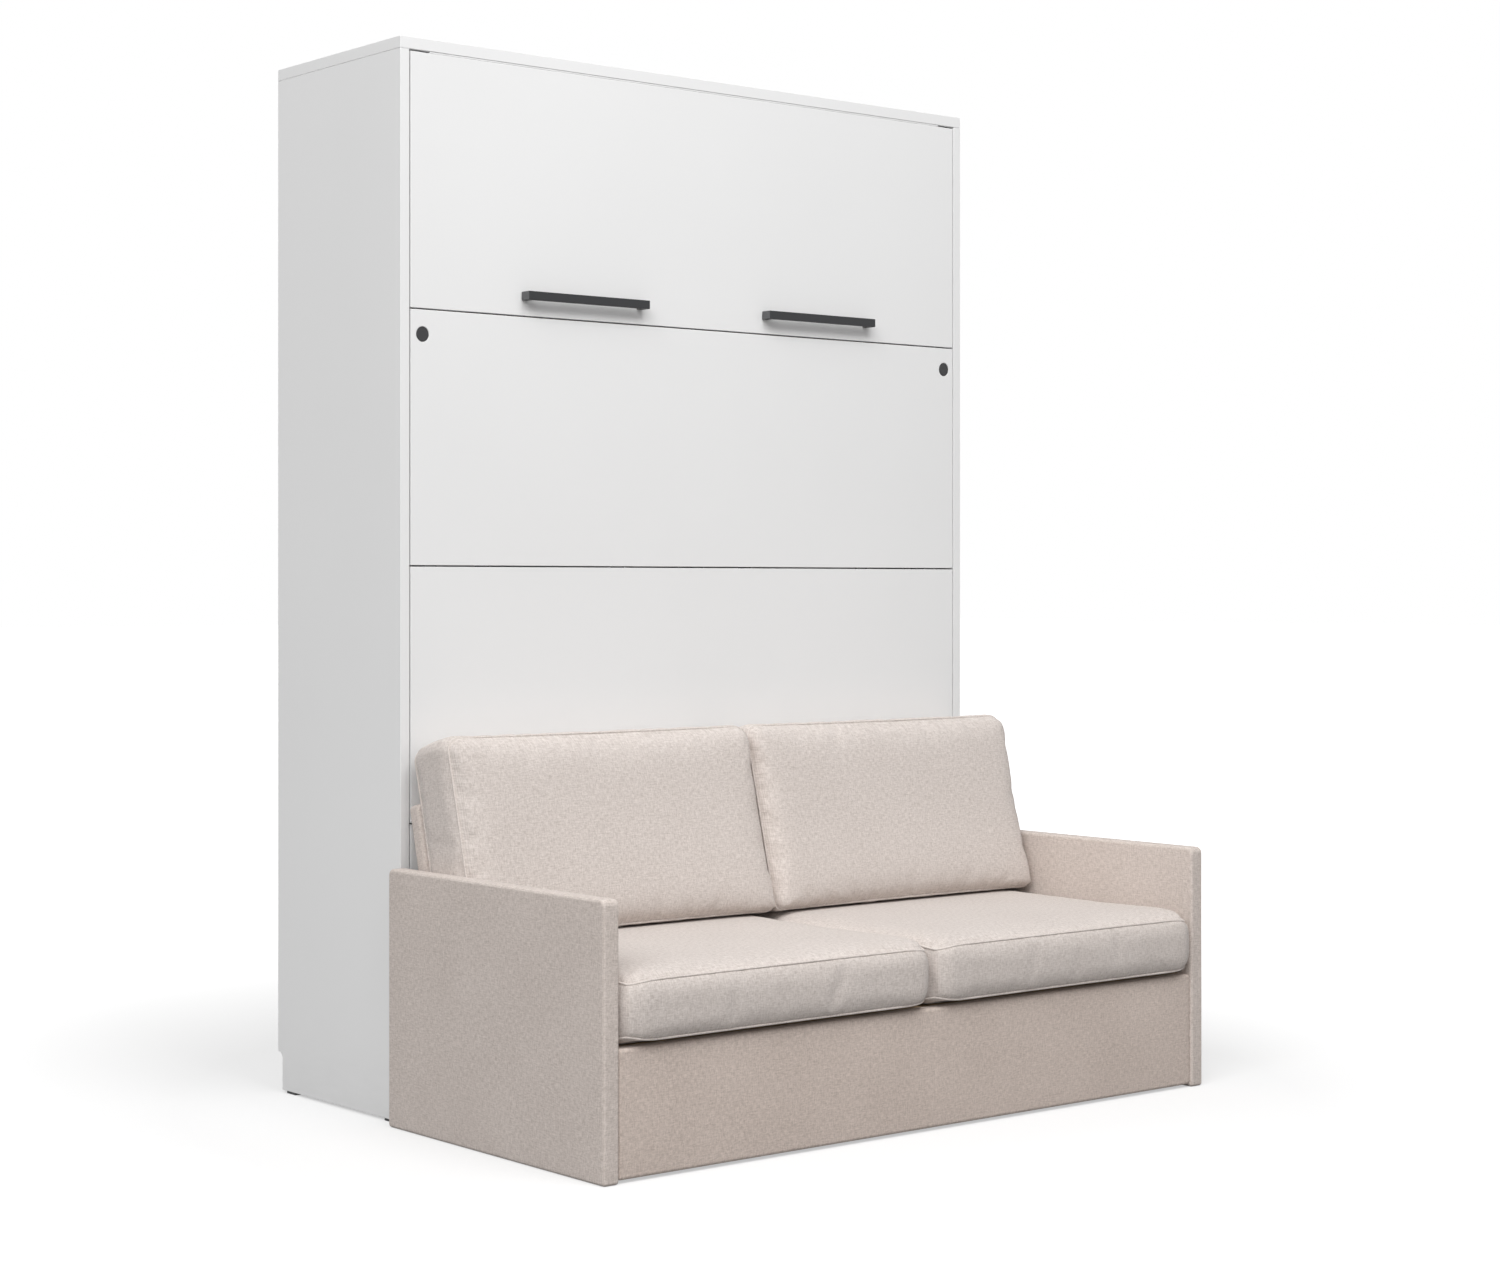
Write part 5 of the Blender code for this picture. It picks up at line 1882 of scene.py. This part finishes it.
@dataclass(frozen=True)
class Lamp:
    """A square area lamp."""

    name: str
    power: float
    size: float
    place: Point
    aim: Point

    def build(self) -> None:
        """Hang the lamp and turn it to its aim."""
        light = bpy.data.lights.new(self.name, "AREA")
        light.shape = "SQUARE"
        light.size = self.size
        light.energy = self.power
        lamp = linked(self.name, light)
        lamp.location = self.place
        towards = Vector(self.aim) - Vector(self.place)
        lamp.rotation_euler = towards.to_track_quat("-Z", "Y").to_euler()


@dataclass
class Studio:
    """Floor, lights, world and camera."""

    focal_px: float = 2734.6
    horizon_px: float = 586.0
    axis_px: float = 600.0
    yaw: float = math.radians(37.859)
    eye: Point = (-3.8313, -4.4371, 1.0782)
    sensor: float = 36.0
    clip_end: float = 200.0
    ambient: float = 0.42
    lamps: tuple[Lamp, ...] = (
        Lamp("key", 688.0, 6.6, (-7.44, -4.69, 7.53), (0.0, 0.0, 1.0)),
        Lamp("overhead", 103.0, 2.41, (-0.43, -2.92, 4.45), (0.36, -1.95, -0.24)),
    )
    floor_half: float = 60.0
    floor_fade: Range = (1.2, 3.2)
    floor_glow: Range = (0.50, 1.0)
    floor_seen_tone: float = 0.47
    floor_bounce_tone: float = 0.30

    def build(self) -> None:
        """Set up the stage."""
        self.build_floor()
        self.build_world()
        for lamp in self.lamps:
            lamp.build()
        self.build_camera()
        bpy.context.scene.view_settings.view_transform = "Standard"

    def build_floor(self) -> None:
        """Make a pale floor that turns white away from the object and keeps its shadow."""
        bm = bmesh.new()
        bmesh.ops.create_grid(bm, x_segments=1, y_segments=1, size=self.floor_half)
        sketch = Sketch(bpy.data.materials.new("pale floor"))
        sketch.tree.nodes.remove(sketch.tree.nodes["Principled BSDF"])
        x, y, _ = sketch.split(sketch.place())
        squares = [sketch.calc("MULTIPLY", part, part) for part in (x, y)]
        away = sketch.calc("SQRT", sketch.calc("ADD", *squares))
        strength = sketch.span(away, self.floor_fade, self.floor_glow)
        glow = sketch.node("Emission", {"Strength": strength})
        seen = sketch.node("BsdfDiffuse", {"Color": tinted(WHITE, self.floor_seen_tone)})
        bounce = sketch.node("BsdfDiffuse", {"Color": tinted(WHITE, self.floor_bounce_tone)})
        bright = sketch.node("AddShader", {0: seen.outputs[0], 1: glow.outputs[0]})
        feeds = {0: sketch.in_view(), 1: bounce.outputs[0], 2: bright.outputs[0]}
        either = sketch.node("MixShader", feeds)
        surface = sketch.tree.nodes["Material Output"].inputs["Surface"]
        sketch.put(surface, either.outputs[0])
        make_object("floor", bm, sketch.holder, smooth=False)

    def build_world(self) -> None:
        """Make the world white to the eye and in reflections, and softer as a light."""
        world = bpy.data.worlds.new("studio")
        bpy.context.scene.world = world
        sketch = Sketch(world)
        background = sketch.tree.nodes["Background"].inputs
        sketch.put(background["Color"], WHITE)
        strength = sketch.span(sketch.in_view(), FULL, (self.ambient, 1.0))
        sketch.put(background["Strength"], strength)

    def build_camera(self) -> None:
        """Set the camera at the photograph's place, level, with a small shift."""
        data = bpy.data.cameras.new("camera")
        data.sensor_width = self.sensor
        data.lens = self.focal_px * self.sensor / PHOTO_WIDTH
        data.shift_x = (PHOTO_WIDTH / 2 - self.axis_px) / PHOTO_WIDTH
        data.shift_y = (self.horizon_px - PHOTO_HEIGHT / 2) / PHOTO_WIDTH
        data.clip_end = self.clip_end
        camera = linked("camera", data)
        camera.location = self.eye
        camera.rotation_euler = (math.radians(90), 0.0, -self.yaw)
        bpy.context.scene.camera = camera


def main() -> None:
    """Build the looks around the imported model."""
    logging.basicConfig(level=logging.INFO, format="%(message)s")
    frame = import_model()
    finishes = Finishes()
    lean = Lean()
    Sofa(finishes, lean).build()
    Mattress(finishes).build()
    Fasteners(finishes, lean).build()
    cabinet = Cabinet(finishes, frame["nodes"])
    cabinet.build_stop_seal()
    cabinet.dress()
    Studio().build()
    LOG.info("sizes written")


if __name__ == "__main__":
    main()
